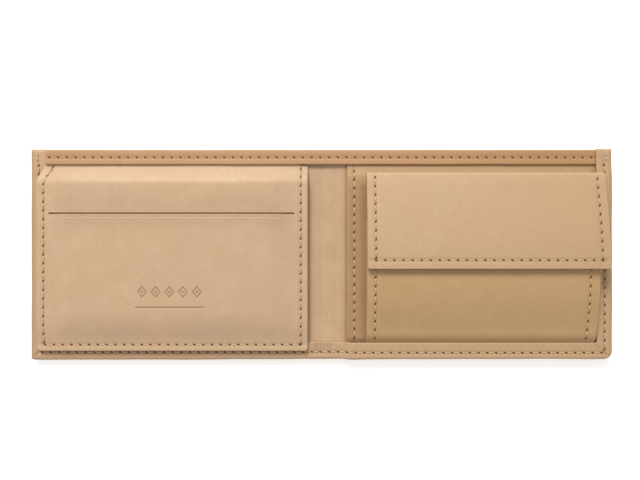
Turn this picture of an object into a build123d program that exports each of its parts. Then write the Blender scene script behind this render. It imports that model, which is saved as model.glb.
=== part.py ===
from build123d import *
import os

# A slim leather wallet, lying open on its back. Origin: centre of its footprint on the table.
# +X runs to the coin pocket half, +Y to the mouth of the note compartment, +Z up. Millimetres.
# Two halves fold about the spine. A card leaf hangs from the top band of the left half,
# and a gusseted coin pocket with a lined flap fills the right half.

# ---- driving dimensions ----
OPEN_WIDTH = 206.4
HEIGHT = 75.0
SPINE_WIDTH = 16.0
COVER = 1.2
LINING = 0.9
SKIVED = 0.6
TURN_IN = 0.7
TURN_IN_WIDTH = 6.5
SIDE_TURN_IN_WIDTH = 5.7
WALL = 0.9
NOTE_GAP = 0.4
CARD_GAP = 0.8
CLEARANCE = 0.3
NARROW_GAP = 0.2

STITCH_PITCH = 3.1
STITCH_LENGTH = 2.3
THREAD = 0.6
STITCH_HEIGHT = 0.2
GROOVE_WIDTH = 0.9
SEAM_INSET = 2.9
SEAM_TURN = 1.5
TACK_WIDTH = 1.0
TACK_HEIGHT = 0.25

# ---- worked out from them: plan ----
LEFT = -OPEN_WIDTH / 2
RIGHT = OPEN_WIDTH / 2
BOTTOM = -HEIGHT / 2
TOP = HEIGHT / 2
SPINE_LEFT = -SPINE_WIDTH / 2
SPINE_RIGHT = SPINE_WIDTH / 2
BORDER_LEFT = LEFT + SIDE_TURN_IN_WIDTH
BORDER_RIGHT = RIGHT - SIDE_TURN_IN_WIDTH
BORDER_BOTTOM = BOTTOM + TURN_IN_WIDTH
MARGIN = TURN_IN_WIDTH + CLEARANCE + LINING
SEAM_LEFT = LEFT + SEAM_INSET
SEAM_RIGHT = RIGHT - SEAM_INSET
SEAM_BOTTOM = BOTTOM + SEAM_INSET
SEAM_TOP_END = 33.5
TACK_TOP = TOP - 1.2
LINER_TOP = TOP - 0.9
LEFT_CORNER_RADIUS = 1.5
RIGHT_CORNER_RADIUS = 3.0
EDGE_RADIUS = 0.6

# ---- worked out from them: levels of the layers ----
DIVIDER_UNDER = COVER + NOTE_GAP
DIVIDER_TOP = DIVIDER_UNDER + LINING
LEFT_RIM_TOP = DIVIDER_TOP + TURN_IN
PANEL_UNDER = DIVIDER_TOP + CARD_GAP
PANEL_TOP = PANEL_UNDER + LINING
PANEL_BORDER_TOP = DIVIDER_TOP + LINING
RIGHT_RIM_UNDER = PANEL_BORDER_TOP + SKIVED
RIGHT_RIM_TOP = RIGHT_RIM_UNDER + TURN_IN

# ---- top band: a binding folded over the divider's top edge ----
BAND_BOTTOM = 32.0
BAND_LEFT = BORDER_LEFT
BAND_RIGHT = BORDER_RIGHT - 0.2
BAND_SEAM_Y = 34.5
BAND_UNDER = DIVIDER_TOP + SKIVED
BAND_TOP = BAND_UNDER + TURN_IN
BAND_BACK = 0.3

# ---- card leaf ----
LEAF_LEFT = -100.0
LEAF_RIGHT = -4.6
LEAF_BOTTOM = -33.3
LEAF_TOP = 31.5
LEAF_UNDER = 3.7
LEAF_BACK = 0.8
LEAF_RIM = LEAF_UNDER + LEAF_BACK + LINING
LEAF_CROWN = 7.0
LEAF_CORNER_RADIUS = 1.2
LEAF_SEAM_INSET = 2.4
LEAF_SEAM_BAND = 4.2
CROWN_RUN = 10.0
TAB_INSET = 3.5
CUT_CORNER_TOP = 3.0
CUT_CORNER_SIDE = 0.6
CUT_CORNER_Y = 24.5
SLIT_Y = 14.4
SLIT_LEFT = -95.7
SLIT_RIGHT = -9.3
SLIT_WIDTH = 0.6

# ---- coin pocket ----
PANEL_LEFT = 9.45
PANEL_SEAM_X = 11.9
POCKET_LEFT = 16.0
POCKET_RIGHT = 96.7
POCKET_SEAM_LEFT = 19.0
POCKET_SEAM_RIGHT = 93.2
POCKET_FRONT = 0.8
MOUTH_Y = 12.0
FRONT_LINE = [(-30.5, 5.2), (-20.0, 8.0), (-10.0, 9.35), (-4.0, 9.5), (4.0, 9.05), (MOUTH_Y, 7.9)]
GUSSET = 0.6
GUSSET_TOP = 25.0
GUSSET_FOOT = 4.0
GUSSET_LEG = 2.0

# ---- coin flap ----
FLAP_LEFT = 16.1
FLAP_RIGHT = 99.4
FLAP_BOTTOM = -4.6
FLAP_AXIS_Y = 28.1
FLAP_AXIS_Z = 5.8
FOLD_RADIUS = 0.9
FLAP_OUTER = 0.8
FLAP_LINING = 0.6
LINING_TOP_Y = 25.5
ROOT_BOTTOM = 17.0
ROOT_LEFT = FLAP_LEFT + 1
FLAP_START = (FLAP_AXIS_Y, FLAP_AXIS_Z + FOLD_RADIUS)
FLAP_LINE = [FLAP_START, (20.5, 8.4), (12.0, 9.85), (3.9, 10.9), (FLAP_BOTTOM, 11.5)]
FLAP_SEAM_INSET = 2.9

# ---- press stud ----
STUD_X = (FLAP_LEFT + FLAP_RIGHT) / 2
STUD_Y = 2.0
STUD_TILT = -4.0
SOCKET_RADIUS = 5.2
SOCKET_BORE = 2.1
SOCKET_THICKNESS = 0.5
STUD_RADIUS = 3.6
POST_RADIUS = 1.5
POST_HEIGHT = 0.7


def block(x0, x1, y0, y1, z0, z1, mode=Mode.ADD):
    """A straight-sided layer between two corners, in the part being built."""
    with Locations(((x0 + x1) / 2, (y0 + y1) / 2, (z0 + z1) / 2)):
        Box(x1 - x0, y1 - y0, z1 - z0, mode=mode)


def groove(x0, x1, y0, y1):
    """A shallow channel for a seam, in the underside of the part being built."""
    block(x0, x1, y0, y1, 0, STITCH_HEIGHT, Mode.SUBTRACT)


def stitches_x(x0, x1, y, z):
    """A row of stitches along X, standing on level z."""
    count = int((x1 - x0) / STITCH_PITCH)
    with Locations(((x0 + x1) / 2, y, z + STITCH_HEIGHT / 2)):
        with GridLocations(STITCH_PITCH, 1, count, 1):
            Box(STITCH_LENGTH, THREAD, STITCH_HEIGHT)


def stitches_y(x, y0, y1, z):
    """A row of stitches along Y, standing on level z."""
    count = int((y1 - y0) / STITCH_PITCH)
    with Locations((x, (y0 + y1) / 2, z + STITCH_HEIGHT / 2)):
        with GridLocations(1, STITCH_PITCH, 1, count):
            Box(THREAD, STITCH_LENGTH, STITCH_HEIGHT)


def surface(line):
    """The smooth curve through a section's points, from the spine side of the leaf outwards."""
    return Spline(*line, mode=Mode.PRIVATE)


def stitches_on(line, x, y0, y1):
    """A row of stitches along Y that climbs with a bulging leaf, just clear of its face."""
    curve = surface(line)
    count = int(abs(y1 - y0) / STITCH_PITCH)
    for number in range(count):
        y = y0 + (number + 0.5) * (y1 - y0) / count
        share = share_at(curve, y)
        z = (curve @ share).Y
        slope = (curve % share).Y / (curve % share).X
        tilt = Vector(1, slope).get_angle(Vector(1, 0)) * (1 if slope > 0 else -1)
        with Locations(Location((x, y, z + STITCH_HEIGHT / 2 + 0.05), (tilt, 0, 0))):
            Box(THREAD, STITCH_LENGTH, STITCH_HEIGHT)


def share_at(curve, y):
    """How far along the curve it reaches y, from 0 to 1, by halving."""
    low, high = 0.0, 1.0
    rising = (curve @ 1).X > (curve @ 0).X
    for _ in range(30):
        middle = (low + high) / 2
        if ((curve @ middle).X < y) == rising:
            low = middle
        else:
            high = middle
    return (low + high) / 2


def height_at(line, y):
    """The height of a bulging leaf's outer face at y."""
    curve = surface(line)
    return (curve @ share_at(curve, y)).Y


def layer_section(line, drop, thickness, plane):
    """The section of one leather layer that lies drop below the line, as a sketch on plane."""
    upper = [(y, z - drop) for y, z in line]
    lower = [(y, z - drop - thickness) for y, z in line]
    with BuildSketch(plane) as section:
        with BuildLine():
            Spline(*upper)
            Line(upper[-1], lower[-1])
            Spline(*lower)
            Line(lower[0], upper[0])
        make_face()
    return section.sketch


def outline(x0, x1, corner_x, radius):
    """The cover's plan between x0 and x1, with its one outer bottom corner rounded."""
    with BuildSketch() as plan:
        with Locations(((x0 + x1) / 2, 0)):
            Rectangle(x1 - x0, HEIGHT)
        corner = plan.vertices().sort_by_distance((corner_x, BOTTOM, 0))[0]
        fillet(corner, radius)
    return plan.sketch


def outer_edges(part, x, level):
    """The edges of part's outer wall at one level, along the side at x and along the bottom."""
    rim = part.edges().filter_by(lambda e: abs(e.center().Z - level) < 0.01)
    return rim.filter_by(lambda e: abs(e.center().X - x) < 0.5 or abs(e.center().Y - BOTTOM) < 0.01)


# ================= the cover, with its edges turned in =================
with BuildPart() as cover_left:
    extrude(outline(LEFT, SPINE_LEFT, LEFT, LEFT_CORNER_RADIUS), amount=LEFT_RIM_TOP)
    fillet(outer_edges(cover_left, LEFT, 0), EDGE_RADIUS)
    fillet(outer_edges(cover_left, LEFT, LEFT_RIM_TOP), EDGE_RADIUS)
    block(LEFT + WALL, SPINE_LEFT, BOTTOM + WALL, TOP, COVER, DIVIDER_TOP, Mode.SUBTRACT)
    block(BORDER_LEFT, SPINE_LEFT, BORDER_BOTTOM, TOP, DIVIDER_TOP, LEFT_RIM_TOP, Mode.SUBTRACT)
    groove_left = SEAM_LEFT - GROOVE_WIDTH / 2
    groove_bottom = SEAM_BOTTOM - GROOVE_WIDTH / 2
    groove(groove_left, groove_left + GROOVE_WIDTH, groove_bottom, SEAM_TOP_END)
    groove(groove_left, SPINE_LEFT, groove_bottom, groove_bottom + GROOVE_WIDTH)

with BuildPart() as cover_right:
    extrude(outline(SPINE_RIGHT, RIGHT, RIGHT, RIGHT_CORNER_RADIUS), amount=RIGHT_RIM_TOP)
    fillet(outer_edges(cover_right, RIGHT, 0), EDGE_RADIUS)
    fillet(outer_edges(cover_right, RIGHT, RIGHT_RIM_TOP), EDGE_RADIUS)
    block(SPINE_RIGHT, RIGHT - WALL, BOTTOM + WALL, TOP, COVER, DIVIDER_TOP, Mode.SUBTRACT)
    block(PANEL_LEFT, RIGHT - WALL, BOTTOM + WALL, TOP, DIVIDER_TOP, RIGHT_RIM_UNDER, Mode.SUBTRACT)
    block(SPINE_RIGHT, BORDER_RIGHT, BORDER_BOTTOM, TOP, DIVIDER_TOP, RIGHT_RIM_TOP, Mode.SUBTRACT)
    with BuildSketch(Plane.XZ.offset(-BOTTOM)):
        with BuildLine():
            Polyline(
                (SPINE_RIGHT, LEFT_RIM_TOP),
                (PANEL_LEFT + 0.8, RIGHT_RIM_TOP),
                (PANEL_LEFT, RIGHT_RIM_TOP + 1),
                (SPINE_RIGHT, RIGHT_RIM_TOP + 1),
                close=True,
            )
        make_face()
    extrude(amount=-TURN_IN_WIDTH, mode=Mode.SUBTRACT)
    groove_right = SEAM_RIGHT - GROOVE_WIDTH / 2
    groove(groove_right, groove_right + GROOVE_WIDTH, groove_bottom, SEAM_TOP_END)
    groove(SPINE_RIGHT, groove_right, groove_bottom, groove_bottom + GROOVE_WIDTH)

with BuildPart() as cover_spine:
    block(SPINE_LEFT, SPINE_RIGHT, BOTTOM, TOP, 0, COVER)
    block(SPINE_LEFT, SPINE_RIGHT, BOTTOM, BOTTOM + WALL, COVER, DIVIDER_TOP)
    block(SPINE_LEFT, SPINE_RIGHT, BOTTOM, BORDER_BOTTOM, DIVIDER_TOP, LEFT_RIM_TOP)
    groove(SPINE_LEFT, SPINE_RIGHT, groove_bottom, groove_bottom + GROOVE_WIDTH)

# ================= the divider: front wall of the note compartment =================
with BuildPart() as divider_left:
    block(LEFT + WALL, SPINE_LEFT, BOTTOM + WALL, LINER_TOP, COVER, DIVIDER_TOP)
    block(LEFT + MARGIN, SPINE_LEFT, BOTTOM + MARGIN, TOP, COVER, DIVIDER_UNDER, Mode.SUBTRACT)
    block(BAND_LEFT - 0.2, SPINE_LEFT, BAND_BOTTOM - 0.2, TOP, COVER, DIVIDER_UNDER, Mode.SUBTRACT)

with BuildPart() as divider_right:
    block(SPINE_RIGHT, RIGHT - WALL, BOTTOM + WALL, LINER_TOP, COVER, DIVIDER_TOP)
    block(SPINE_RIGHT, RIGHT - MARGIN, BOTTOM + MARGIN, TOP, COVER, DIVIDER_UNDER, Mode.SUBTRACT)
    block(SPINE_RIGHT, BAND_RIGHT + 0.2, BAND_BOTTOM - 0.2, TOP, COVER, DIVIDER_UNDER, Mode.SUBTRACT)

with BuildPart() as divider_spine:
    block(SPINE_LEFT, SPINE_RIGHT, BOTTOM + WALL, LINER_TOP, COVER, DIVIDER_TOP)
    block(SPINE_LEFT, SPINE_RIGHT, BOTTOM + MARGIN, TOP, COVER, DIVIDER_UNDER, Mode.SUBTRACT)


def band(x0, x1):
    """A stretch of the binding, wrapped over the divider's top edge, in the part being built."""
    block(x0, x1, BAND_BOTTOM, TOP, DIVIDER_UNDER - BAND_BACK, BAND_TOP)
    block(x0, x1, BAND_BOTTOM, LINER_TOP, DIVIDER_UNDER, BAND_UNDER, Mode.SUBTRACT)


with BuildPart() as top_band_left:
    band(BAND_LEFT, SPINE_LEFT)

with BuildPart() as top_band_right:
    band(SPINE_RIGHT, BAND_RIGHT)

with BuildPart() as top_band_spine:
    band(SPINE_LEFT, SPINE_RIGHT)

# ================= card leaf: two layers sewn on three sides =================
with BuildPart() as leaf_tab:
    block(LEAF_LEFT + TAB_INSET, SPINE_LEFT, BAND_BOTTOM, LINER_TOP - 0.5, DIVIDER_TOP, BAND_UNDER)


def leaf_outline(inset, level):
    """The card leaf's plan, inset from its edge, with its top left corner cut back, at a level."""
    with BuildSketch(Plane.XY.offset(level)) as plan:
        with BuildLine():
            Polyline(
                (LEAF_LEFT + inset, LEAF_BOTTOM + inset),
                (LEAF_RIGHT - inset, LEAF_BOTTOM + inset),
                (LEAF_RIGHT - inset, LEAF_TOP - inset),
                (LEAF_LEFT + CUT_CORNER_TOP + inset, LEAF_TOP - inset),
                (LEAF_LEFT + CUT_CORNER_SIDE + inset, CUT_CORNER_Y - inset / 2),
                close=True,
            )
        make_face()
        fillet(plan.vertices().group_by(Axis.Y)[0], LEAF_CORNER_RADIUS)
    return plan.sketch


with BuildPart() as leaf_back:
    extrude(leaf_outline(0, LEAF_UNDER), amount=LEAF_BACK)

with BuildPart() as leaf_front:
    extrude(leaf_outline(0, LEAF_UNDER + LEAF_BACK), amount=LINING)
    loft([leaf_outline(LEAF_SEAM_BAND, LEAF_RIM), leaf_outline(LEAF_SEAM_BAND + CROWN_RUN, LEAF_CROWN)])
    hollow_under = leaf_outline(LEAF_SEAM_BAND + 0.3, LEAF_UNDER + LEAF_BACK)
    hollow_over = leaf_outline(LEAF_SEAM_BAND + CROWN_RUN, LEAF_CROWN - LINING)
    loft([hollow_under, hollow_over], mode=Mode.SUBTRACT)
    slit_top = SLIT_Y + SLIT_WIDTH
    block(SLIT_LEFT, SLIT_RIGHT, SLIT_Y, slit_top, LEAF_UNDER + LEAF_BACK, LEAF_CROWN, Mode.SUBTRACT)

with BuildPart() as leaf_seam:
    seam_low = LEAF_BOTTOM + LEAF_SEAM_INSET
    stitches_y(LEAF_LEFT + LEAF_SEAM_INSET, seam_low + SEAM_TURN, CUT_CORNER_Y - 0.5, LEAF_RIM)
    stitches_y(LEAF_RIGHT - LEAF_SEAM_INSET, seam_low + SEAM_TURN, LEAF_TOP - 1, LEAF_RIM)
    stitches_x(LEAF_LEFT + LEAF_SEAM_INSET, LEAF_RIGHT - LEAF_SEAM_INSET, seam_low, LEAF_RIM)

# ================= coin pocket =================
with BuildPart() as coin_back_panel:
    block(PANEL_LEFT, RIGHT - WALL, BOTTOM + WALL, LINER_TOP - 0.5, DIVIDER_TOP, PANEL_TOP)
    block(PANEL_LEFT, RIGHT, BOTTOM, BORDER_BOTTOM + CLEARANCE, PANEL_BORDER_TOP, PANEL_TOP, Mode.SUBTRACT)
    block(BORDER_RIGHT - CLEARANCE, RIGHT, BOTTOM, TOP, PANEL_BORDER_TOP, PANEL_TOP, Mode.SUBTRACT)
    block(PANEL_LEFT, RIGHT, BAND_BOTTOM - CLEARANCE, TOP, BAND_UNDER, PANEL_TOP, Mode.SUBTRACT)
    slot_top = BAND_BOTTOM - CLEARANCE - LINING
    block(PANEL_LEFT, RIGHT - MARGIN, BOTTOM + MARGIN, slot_top, DIVIDER_TOP, PANEL_UNDER, Mode.SUBTRACT)

with BuildPart() as coin_front_hem:
    block(POCKET_LEFT, POCKET_RIGHT, BOTTOM + WALL, BORDER_BOTTOM, PANEL_BORDER_TOP, RIGHT_RIM_UNDER)

with BuildPart() as coin_front_panel:
    front = layer_section(FRONT_LINE, 0, POCKET_FRONT, Plane.YZ.offset(POCKET_LEFT))
    extrude(front, amount=POCKET_RIGHT - POCKET_LEFT)
    with Locations((STUD_X, STUD_Y, height_at(FRONT_LINE, STUD_Y))):
        Cylinder(STUD_RADIUS + 0.1, 4 * POCKET_FRONT, mode=Mode.SUBTRACT)


def gusset(back_x, web_x, front_x):
    """A side gusset: one leg on the back panel, a web, and one leg under the front panel."""
    side = 1 if front_x > web_x else -1
    back_low, back_high = sorted((back_x, web_x))
    foot = BORDER_BOTTOM + GUSSET_FOOT
    block(back_low, back_high, foot, GUSSET_TOP, PANEL_TOP, PANEL_TOP + GUSSET)
    leg_plane = Plane.YZ.offset(min(web_x, front_x))
    leg = layer_section(FRONT_LINE[1:], POCKET_FRONT + NARROW_GAP, GUSSET, leg_plane)
    extrude(leg, amount=abs(front_x - web_x))
    web_line = [(y, z - POCKET_FRONT - NARROW_GAP - GUSSET / 2) for y, z in FRONT_LINE[1:]]
    with BuildSketch(Plane.YZ.offset(web_x if side > 0 else web_x - GUSSET)) as web:
        with BuildLine():
            Spline(*web_line)
            Polyline(
                web_line[-1],
                (MOUTH_Y, PANEL_TOP + GUSSET / 2),
                (web_line[0][0], PANEL_TOP + GUSSET / 2),
                web_line[0],
            )
        make_face()
    extrude(web.sketch, amount=GUSSET)


with BuildPart() as gusset_left:
    gusset(PANEL_LEFT + 0.6, POCKET_LEFT + NARROW_GAP, POCKET_SEAM_LEFT + GUSSET_LEG)

with BuildPart() as gusset_right:
    gusset(BORDER_RIGHT - 0.4, POCKET_RIGHT - NARROW_GAP, POCKET_SEAM_RIGHT - GUSSET_LEG)

with BuildPart() as panel_edge_seam:
    stitches_y(PANEL_SEAM_X, BORDER_BOTTOM + 1, GUSSET_TOP - 1, PANEL_TOP + GUSSET)

with BuildPart() as pocket_side_seams:
    for seam_x in (POCKET_SEAM_LEFT, POCKET_SEAM_RIGHT):
        stitches_on(FRONT_LINE, seam_x, FRONT_LINE[0][0] + 1, MOUTH_Y - 0.5)

# ================= coin flap =================
with BuildPart() as flap_root:
    root_top = FLAP_AXIS_Y - CLEARANCE
    block(ROOT_LEFT, POCKET_RIGHT - 1.5, ROOT_BOTTOM, root_top, PANEL_TOP, PANEL_TOP + SKIVED)
    block(ROOT_LEFT, BORDER_RIGHT - 2, GUSSET_TOP + NARROW_GAP, root_top, PANEL_TOP, PANEL_TOP + SKIVED)

with BuildPart() as flap_outer:
    skin = layer_section(FLAP_LINE, 0, FLAP_OUTER, Plane.YZ.offset(FLAP_LEFT))
    extrude(skin, amount=FLAP_RIGHT - FLAP_LEFT)
    with BuildSketch(Plane.YZ.offset(FLAP_LEFT)) as bend:
        with Locations((FLAP_AXIS_Y, FLAP_AXIS_Z)):
            Circle(FOLD_RADIUS - 0.03)
            Circle(FOLD_RADIUS - FLAP_OUTER, mode=Mode.SUBTRACT)
        with Locations((FLAP_AXIS_Y - FOLD_RADIUS, FLAP_AXIS_Z)):
            Rectangle(2 * FOLD_RADIUS, 4 * FOLD_RADIUS, mode=Mode.SUBTRACT)
    extrude(bend.sketch, amount=FLAP_RIGHT - FLAP_LEFT)

lining_line = [(LINING_TOP_Y, height_at(FLAP_LINE, LINING_TOP_Y))] + FLAP_LINE[1:]
with BuildPart() as flap_lining:
    inner = layer_section(lining_line, FLAP_OUTER + 0.08, FLAP_LINING, Plane.YZ.offset(FLAP_LEFT))
    extrude(inner, amount=FLAP_RIGHT - FLAP_LEFT)
    with Locations((STUD_X, STUD_Y, height_at(FLAP_LINE, STUD_Y))):
        Cylinder(SOCKET_RADIUS + 0.1, 6, mode=Mode.SUBTRACT)

with BuildPart() as flap_seam:
    for seam_x in (FLAP_LEFT + FLAP_SEAM_INSET, FLAP_RIGHT - FLAP_SEAM_INSET):
        stitches_on(FLAP_LINE, seam_x, FLAP_BOTTOM + FLAP_SEAM_INSET + SEAM_TURN, FLAP_AXIS_Y - 2)
    seam_y = FLAP_BOTTOM + FLAP_SEAM_INSET
    seam_level = height_at(FLAP_LINE, seam_y) + 0.05
    stitches_x(FLAP_LEFT + FLAP_SEAM_INSET, FLAP_RIGHT - FLAP_SEAM_INSET, seam_y, seam_level)

# ================= press stud under the flap =================
stud_seat = Location((STUD_X, STUD_Y, height_at(FLAP_LINE, STUD_Y)), (STUD_TILT, 0, 0))
with BuildPart() as snap_socket:
    with Locations(stud_seat):
        with Locations((0, 0, -FLAP_OUTER - 0.25 - SOCKET_THICKNESS / 2)):
            Cylinder(SOCKET_RADIUS, SOCKET_THICKNESS)
            Cylinder(SOCKET_BORE, 2 * SOCKET_THICKNESS, mode=Mode.SUBTRACT)

front_seat = Location((STUD_X, STUD_Y, height_at(FRONT_LINE, STUD_Y)), (STUD_TILT, 0, 0))
with BuildPart() as snap_stud:
    with Locations(front_seat):
        with Locations((0, 0, -POCKET_FRONT / 2)):
            Cylinder(STUD_RADIUS, POCKET_FRONT)
        Cylinder(POST_RADIUS, 2 * POST_HEIGHT)

# ================= seams of the cover and the band =================
with BuildPart() as perimeter_seam_left:
    stitches_y(SEAM_LEFT, SEAM_BOTTOM + SEAM_TURN, SEAM_TOP_END, LEFT_RIM_TOP)
    stitches_x(SEAM_LEFT, SPINE_LEFT, SEAM_BOTTOM, LEFT_RIM_TOP)

with BuildPart() as perimeter_seam_spine:
    stitches_x(SPINE_LEFT, SPINE_RIGHT, SEAM_BOTTOM, LEFT_RIM_TOP)

with BuildPart() as perimeter_seam_right:
    stitches_y(SEAM_RIGHT, SEAM_BOTTOM + SEAM_TURN, SEAM_TOP_END, RIGHT_RIM_TOP)
    stitches_x(PANEL_LEFT + 1.2, SEAM_RIGHT, SEAM_BOTTOM, RIGHT_RIM_TOP)

with BuildPart() as outside_seam_left:
    stitches_y(SEAM_LEFT, SEAM_BOTTOM + SEAM_TURN, SEAM_TOP_END, 0)
    stitches_x(SEAM_LEFT, SPINE_LEFT, SEAM_BOTTOM, 0)

with BuildPart() as outside_seam_spine:
    stitches_x(SPINE_LEFT, SPINE_RIGHT, SEAM_BOTTOM, 0)

with BuildPart() as outside_seam_right:
    stitches_y(SEAM_RIGHT, SEAM_BOTTOM + SEAM_TURN, SEAM_TOP_END, 0)
    stitches_x(SPINE_RIGHT, SEAM_RIGHT, SEAM_BOTTOM, 0)

with BuildPart() as band_seam_left:
    stitches_x(BAND_LEFT, SPINE_LEFT, BAND_SEAM_Y, BAND_TOP)

with BuildPart() as band_seam_spine:
    stitches_x(SPINE_LEFT, SPINE_RIGHT, BAND_SEAM_Y, BAND_TOP)

with BuildPart() as band_seam_right:
    stitches_x(SPINE_RIGHT, BAND_RIGHT, BAND_SEAM_Y, BAND_TOP)

# ================= thread tacks that lock the ends of the perimeter seam =================
with BuildPart() as tack_left:
    block(SEAM_LEFT - TACK_WIDTH, SEAM_LEFT, SEAM_TOP_END, TACK_TOP, LEFT_RIM_TOP, LEFT_RIM_TOP + TACK_HEIGHT)

with BuildPart() as tack_right:
    tack_end = SEAM_RIGHT + TACK_WIDTH
    block(SEAM_RIGHT, tack_end, SEAM_TOP_END, TACK_TOP, RIGHT_RIM_TOP, RIGHT_RIM_TOP + TACK_HEIGHT)

pieces = {
    "cover_left": cover_left,
    "cover_spine": cover_spine,
    "cover_right": cover_right,
    "divider_left": divider_left,
    "divider_spine": divider_spine,
    "divider_right": divider_right,
    "top_band_left": top_band_left,
    "top_band_spine": top_band_spine,
    "top_band_right": top_band_right,
    "leaf_tab": leaf_tab,
    "leaf_back": leaf_back,
    "leaf_front": leaf_front,
    "leaf_seam": leaf_seam,
    "coin_back_panel": coin_back_panel,
    "coin_front_hem": coin_front_hem,
    "coin_front_panel": coin_front_panel,
    "gusset_left": gusset_left,
    "gusset_right": gusset_right,
    "panel_edge_seam": panel_edge_seam,
    "pocket_side_seams": pocket_side_seams,
    "flap_root": flap_root,
    "flap_outer": flap_outer,
    "flap_lining": flap_lining,
    "flap_seam": flap_seam,
    "snap_socket": snap_socket,
    "snap_stud": snap_stud,
    "perimeter_seam_left": perimeter_seam_left,
    "perimeter_seam_spine": perimeter_seam_spine,
    "perimeter_seam_right": perimeter_seam_right,
    "outside_seam_left": outside_seam_left,
    "outside_seam_spine": outside_seam_spine,
    "outside_seam_right": outside_seam_right,
    "band_seam_left": band_seam_left,
    "band_seam_spine": band_seam_spine,
    "band_seam_right": band_seam_right,
    "tack_left": tack_left,
    "tack_right": tack_right,
}

os.makedirs("parts", exist_ok=True)
for name, piece in pieces.items():
    piece.part.label = name
    export_step(piece.part, f"parts/{name}.step")
    print(name, len(piece.part.solids()), "solids", round(piece.part.volume, 1), "mm3")
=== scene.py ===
# %% [markdown]
# # A leather wallet, lying open
#
# The wallet is sewn from smooth undyed leather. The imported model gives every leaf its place, its
# thickness and its hinges. This script gives each leaf the look of leather that was cut, turned in
# and sewn by hand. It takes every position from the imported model, so nothing is fitted by eye.

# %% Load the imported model
import math
from collections import namedtuple

import bmesh
import bpy
import numpy as np
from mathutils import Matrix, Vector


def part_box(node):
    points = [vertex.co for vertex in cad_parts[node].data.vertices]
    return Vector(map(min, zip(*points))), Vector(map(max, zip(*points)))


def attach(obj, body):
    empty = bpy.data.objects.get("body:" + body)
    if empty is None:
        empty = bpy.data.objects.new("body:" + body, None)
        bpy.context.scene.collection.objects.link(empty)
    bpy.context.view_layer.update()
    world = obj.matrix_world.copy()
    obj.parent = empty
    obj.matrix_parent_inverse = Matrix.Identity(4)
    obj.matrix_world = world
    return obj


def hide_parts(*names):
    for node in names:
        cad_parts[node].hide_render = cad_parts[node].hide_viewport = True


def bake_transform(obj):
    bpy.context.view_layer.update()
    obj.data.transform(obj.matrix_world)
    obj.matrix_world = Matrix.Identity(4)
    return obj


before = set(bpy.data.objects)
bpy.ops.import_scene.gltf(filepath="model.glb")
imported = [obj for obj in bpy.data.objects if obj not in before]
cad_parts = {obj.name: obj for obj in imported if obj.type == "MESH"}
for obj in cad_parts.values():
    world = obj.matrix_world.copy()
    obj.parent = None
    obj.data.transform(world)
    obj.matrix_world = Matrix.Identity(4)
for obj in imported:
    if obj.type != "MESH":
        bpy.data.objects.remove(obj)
bpy.context.view_layer.update()

# %% [markdown]
# Leather is a millimetre thick, so this script thinks in millimetres and turns them into metres once,
# where a mesh is made. `box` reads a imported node's corners in the same unit.

# %% Millimetres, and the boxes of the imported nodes
MM = 0.001


def box(node):
    """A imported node's lowest and highest corner, in millimetres."""
    low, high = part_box(node)
    return np.array(low) / MM, np.array(high) / MM


COVER_LOW, COVER_LEFT_HIGH = box("cover_left")
COVER_HIGH = box("cover_right")[1]
LEFT, BOTTOM = COVER_LOW[:2]
RIGHT, TOP = COVER_HIGH[:2]
RIM_LEFT, RIM_RIGHT = COVER_LEFT_HIGH[2], COVER_HIGH[2]
SPINE_LEFT, SPINE_RIGHT = box("cover_spine")[0][0], box("cover_spine")[1][0]
DIVIDER_LOW, DIVIDER_HIGH = box("divider_left")
DIVIDER_TOP = DIVIDER_HIGH[2]
BAND_LOW, BAND_HIGH = box("top_band_left")
BAND_RIGHT = box("top_band_right")[1][0]
BAND_UNDER = box("leaf_tab")[1][2]
LEAF_LOW, LEAF_HIGH = box("leaf_front")
LEAF_OVERHANG = 0.5
LEAF_LOW = LEAF_LOW - (0, LEAF_OVERHANG, 0)
LEAF_BACK_LOW, LEAF_BACK_HIGH = box("leaf_back")
LEAF_RIM = box("leaf_seam")[0][2]
PANEL_LOW, PANEL_HIGH = box("coin_back_panel")
FRONT_LOW, FRONT_HIGH = box("coin_front_panel")
HEM_LOW, HEM_HIGH = box("coin_front_hem")
FLAP_LOW, FLAP_HIGH = box("flap_outer")
LINING_TOP = box("flap_lining")[1][1]
ROOT_LOW, ROOT_HIGH = box("flap_root")
print(f"open wallet {RIGHT - LEFT:.1f} x {TOP - BOTTOM:.1f} mm")
print(f"rims {RIM_LEFT:.1f} and {RIM_RIGHT:.1f} mm high")

# %% [markdown]
# ## Camera, floor and light
#
# A wallet that is offered for sale usually lies open on a white table and is shown straight from
# above. The camera comes first, because all later choices of detail depend on how large a millimetre
# is in the picture.

# %% The camera, straight above
CAMERA_HEIGHT = 200.0
CAMERA_OFF_CENTRE = (-0.23, 5.26)
TABLE_IN_VIEW = 231.2
SENSOR = 36.0

camera_data = bpy.data.cameras.new("camera")
camera_data.sensor_width = SENSOR
camera_data.lens = SENSOR * CAMERA_HEIGHT / TABLE_IN_VIEW
camera_data.clip_start = 0.01
camera = bpy.data.objects.new("camera", camera_data)
camera.location = (CAMERA_OFF_CENTRE[0] * MM, CAMERA_OFF_CENTRE[1] * MM, CAMERA_HEIGHT * MM)
bpy.context.scene.collection.objects.link(camera)
bpy.context.scene.camera = camera
print(f"camera {CAMERA_HEIGHT:.0f} mm above the table, lens {camera_data.lens:.1f} mm")

# %% [markdown]
# The floor is matt white acrylic, lit faintly from below so that shadows on it stay pale. The light is
# one soft panel beyond the top edge, a little to the left, inside an even white surrounding, so the
# shadows are short and soft and fall towards the lower edge.

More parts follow.
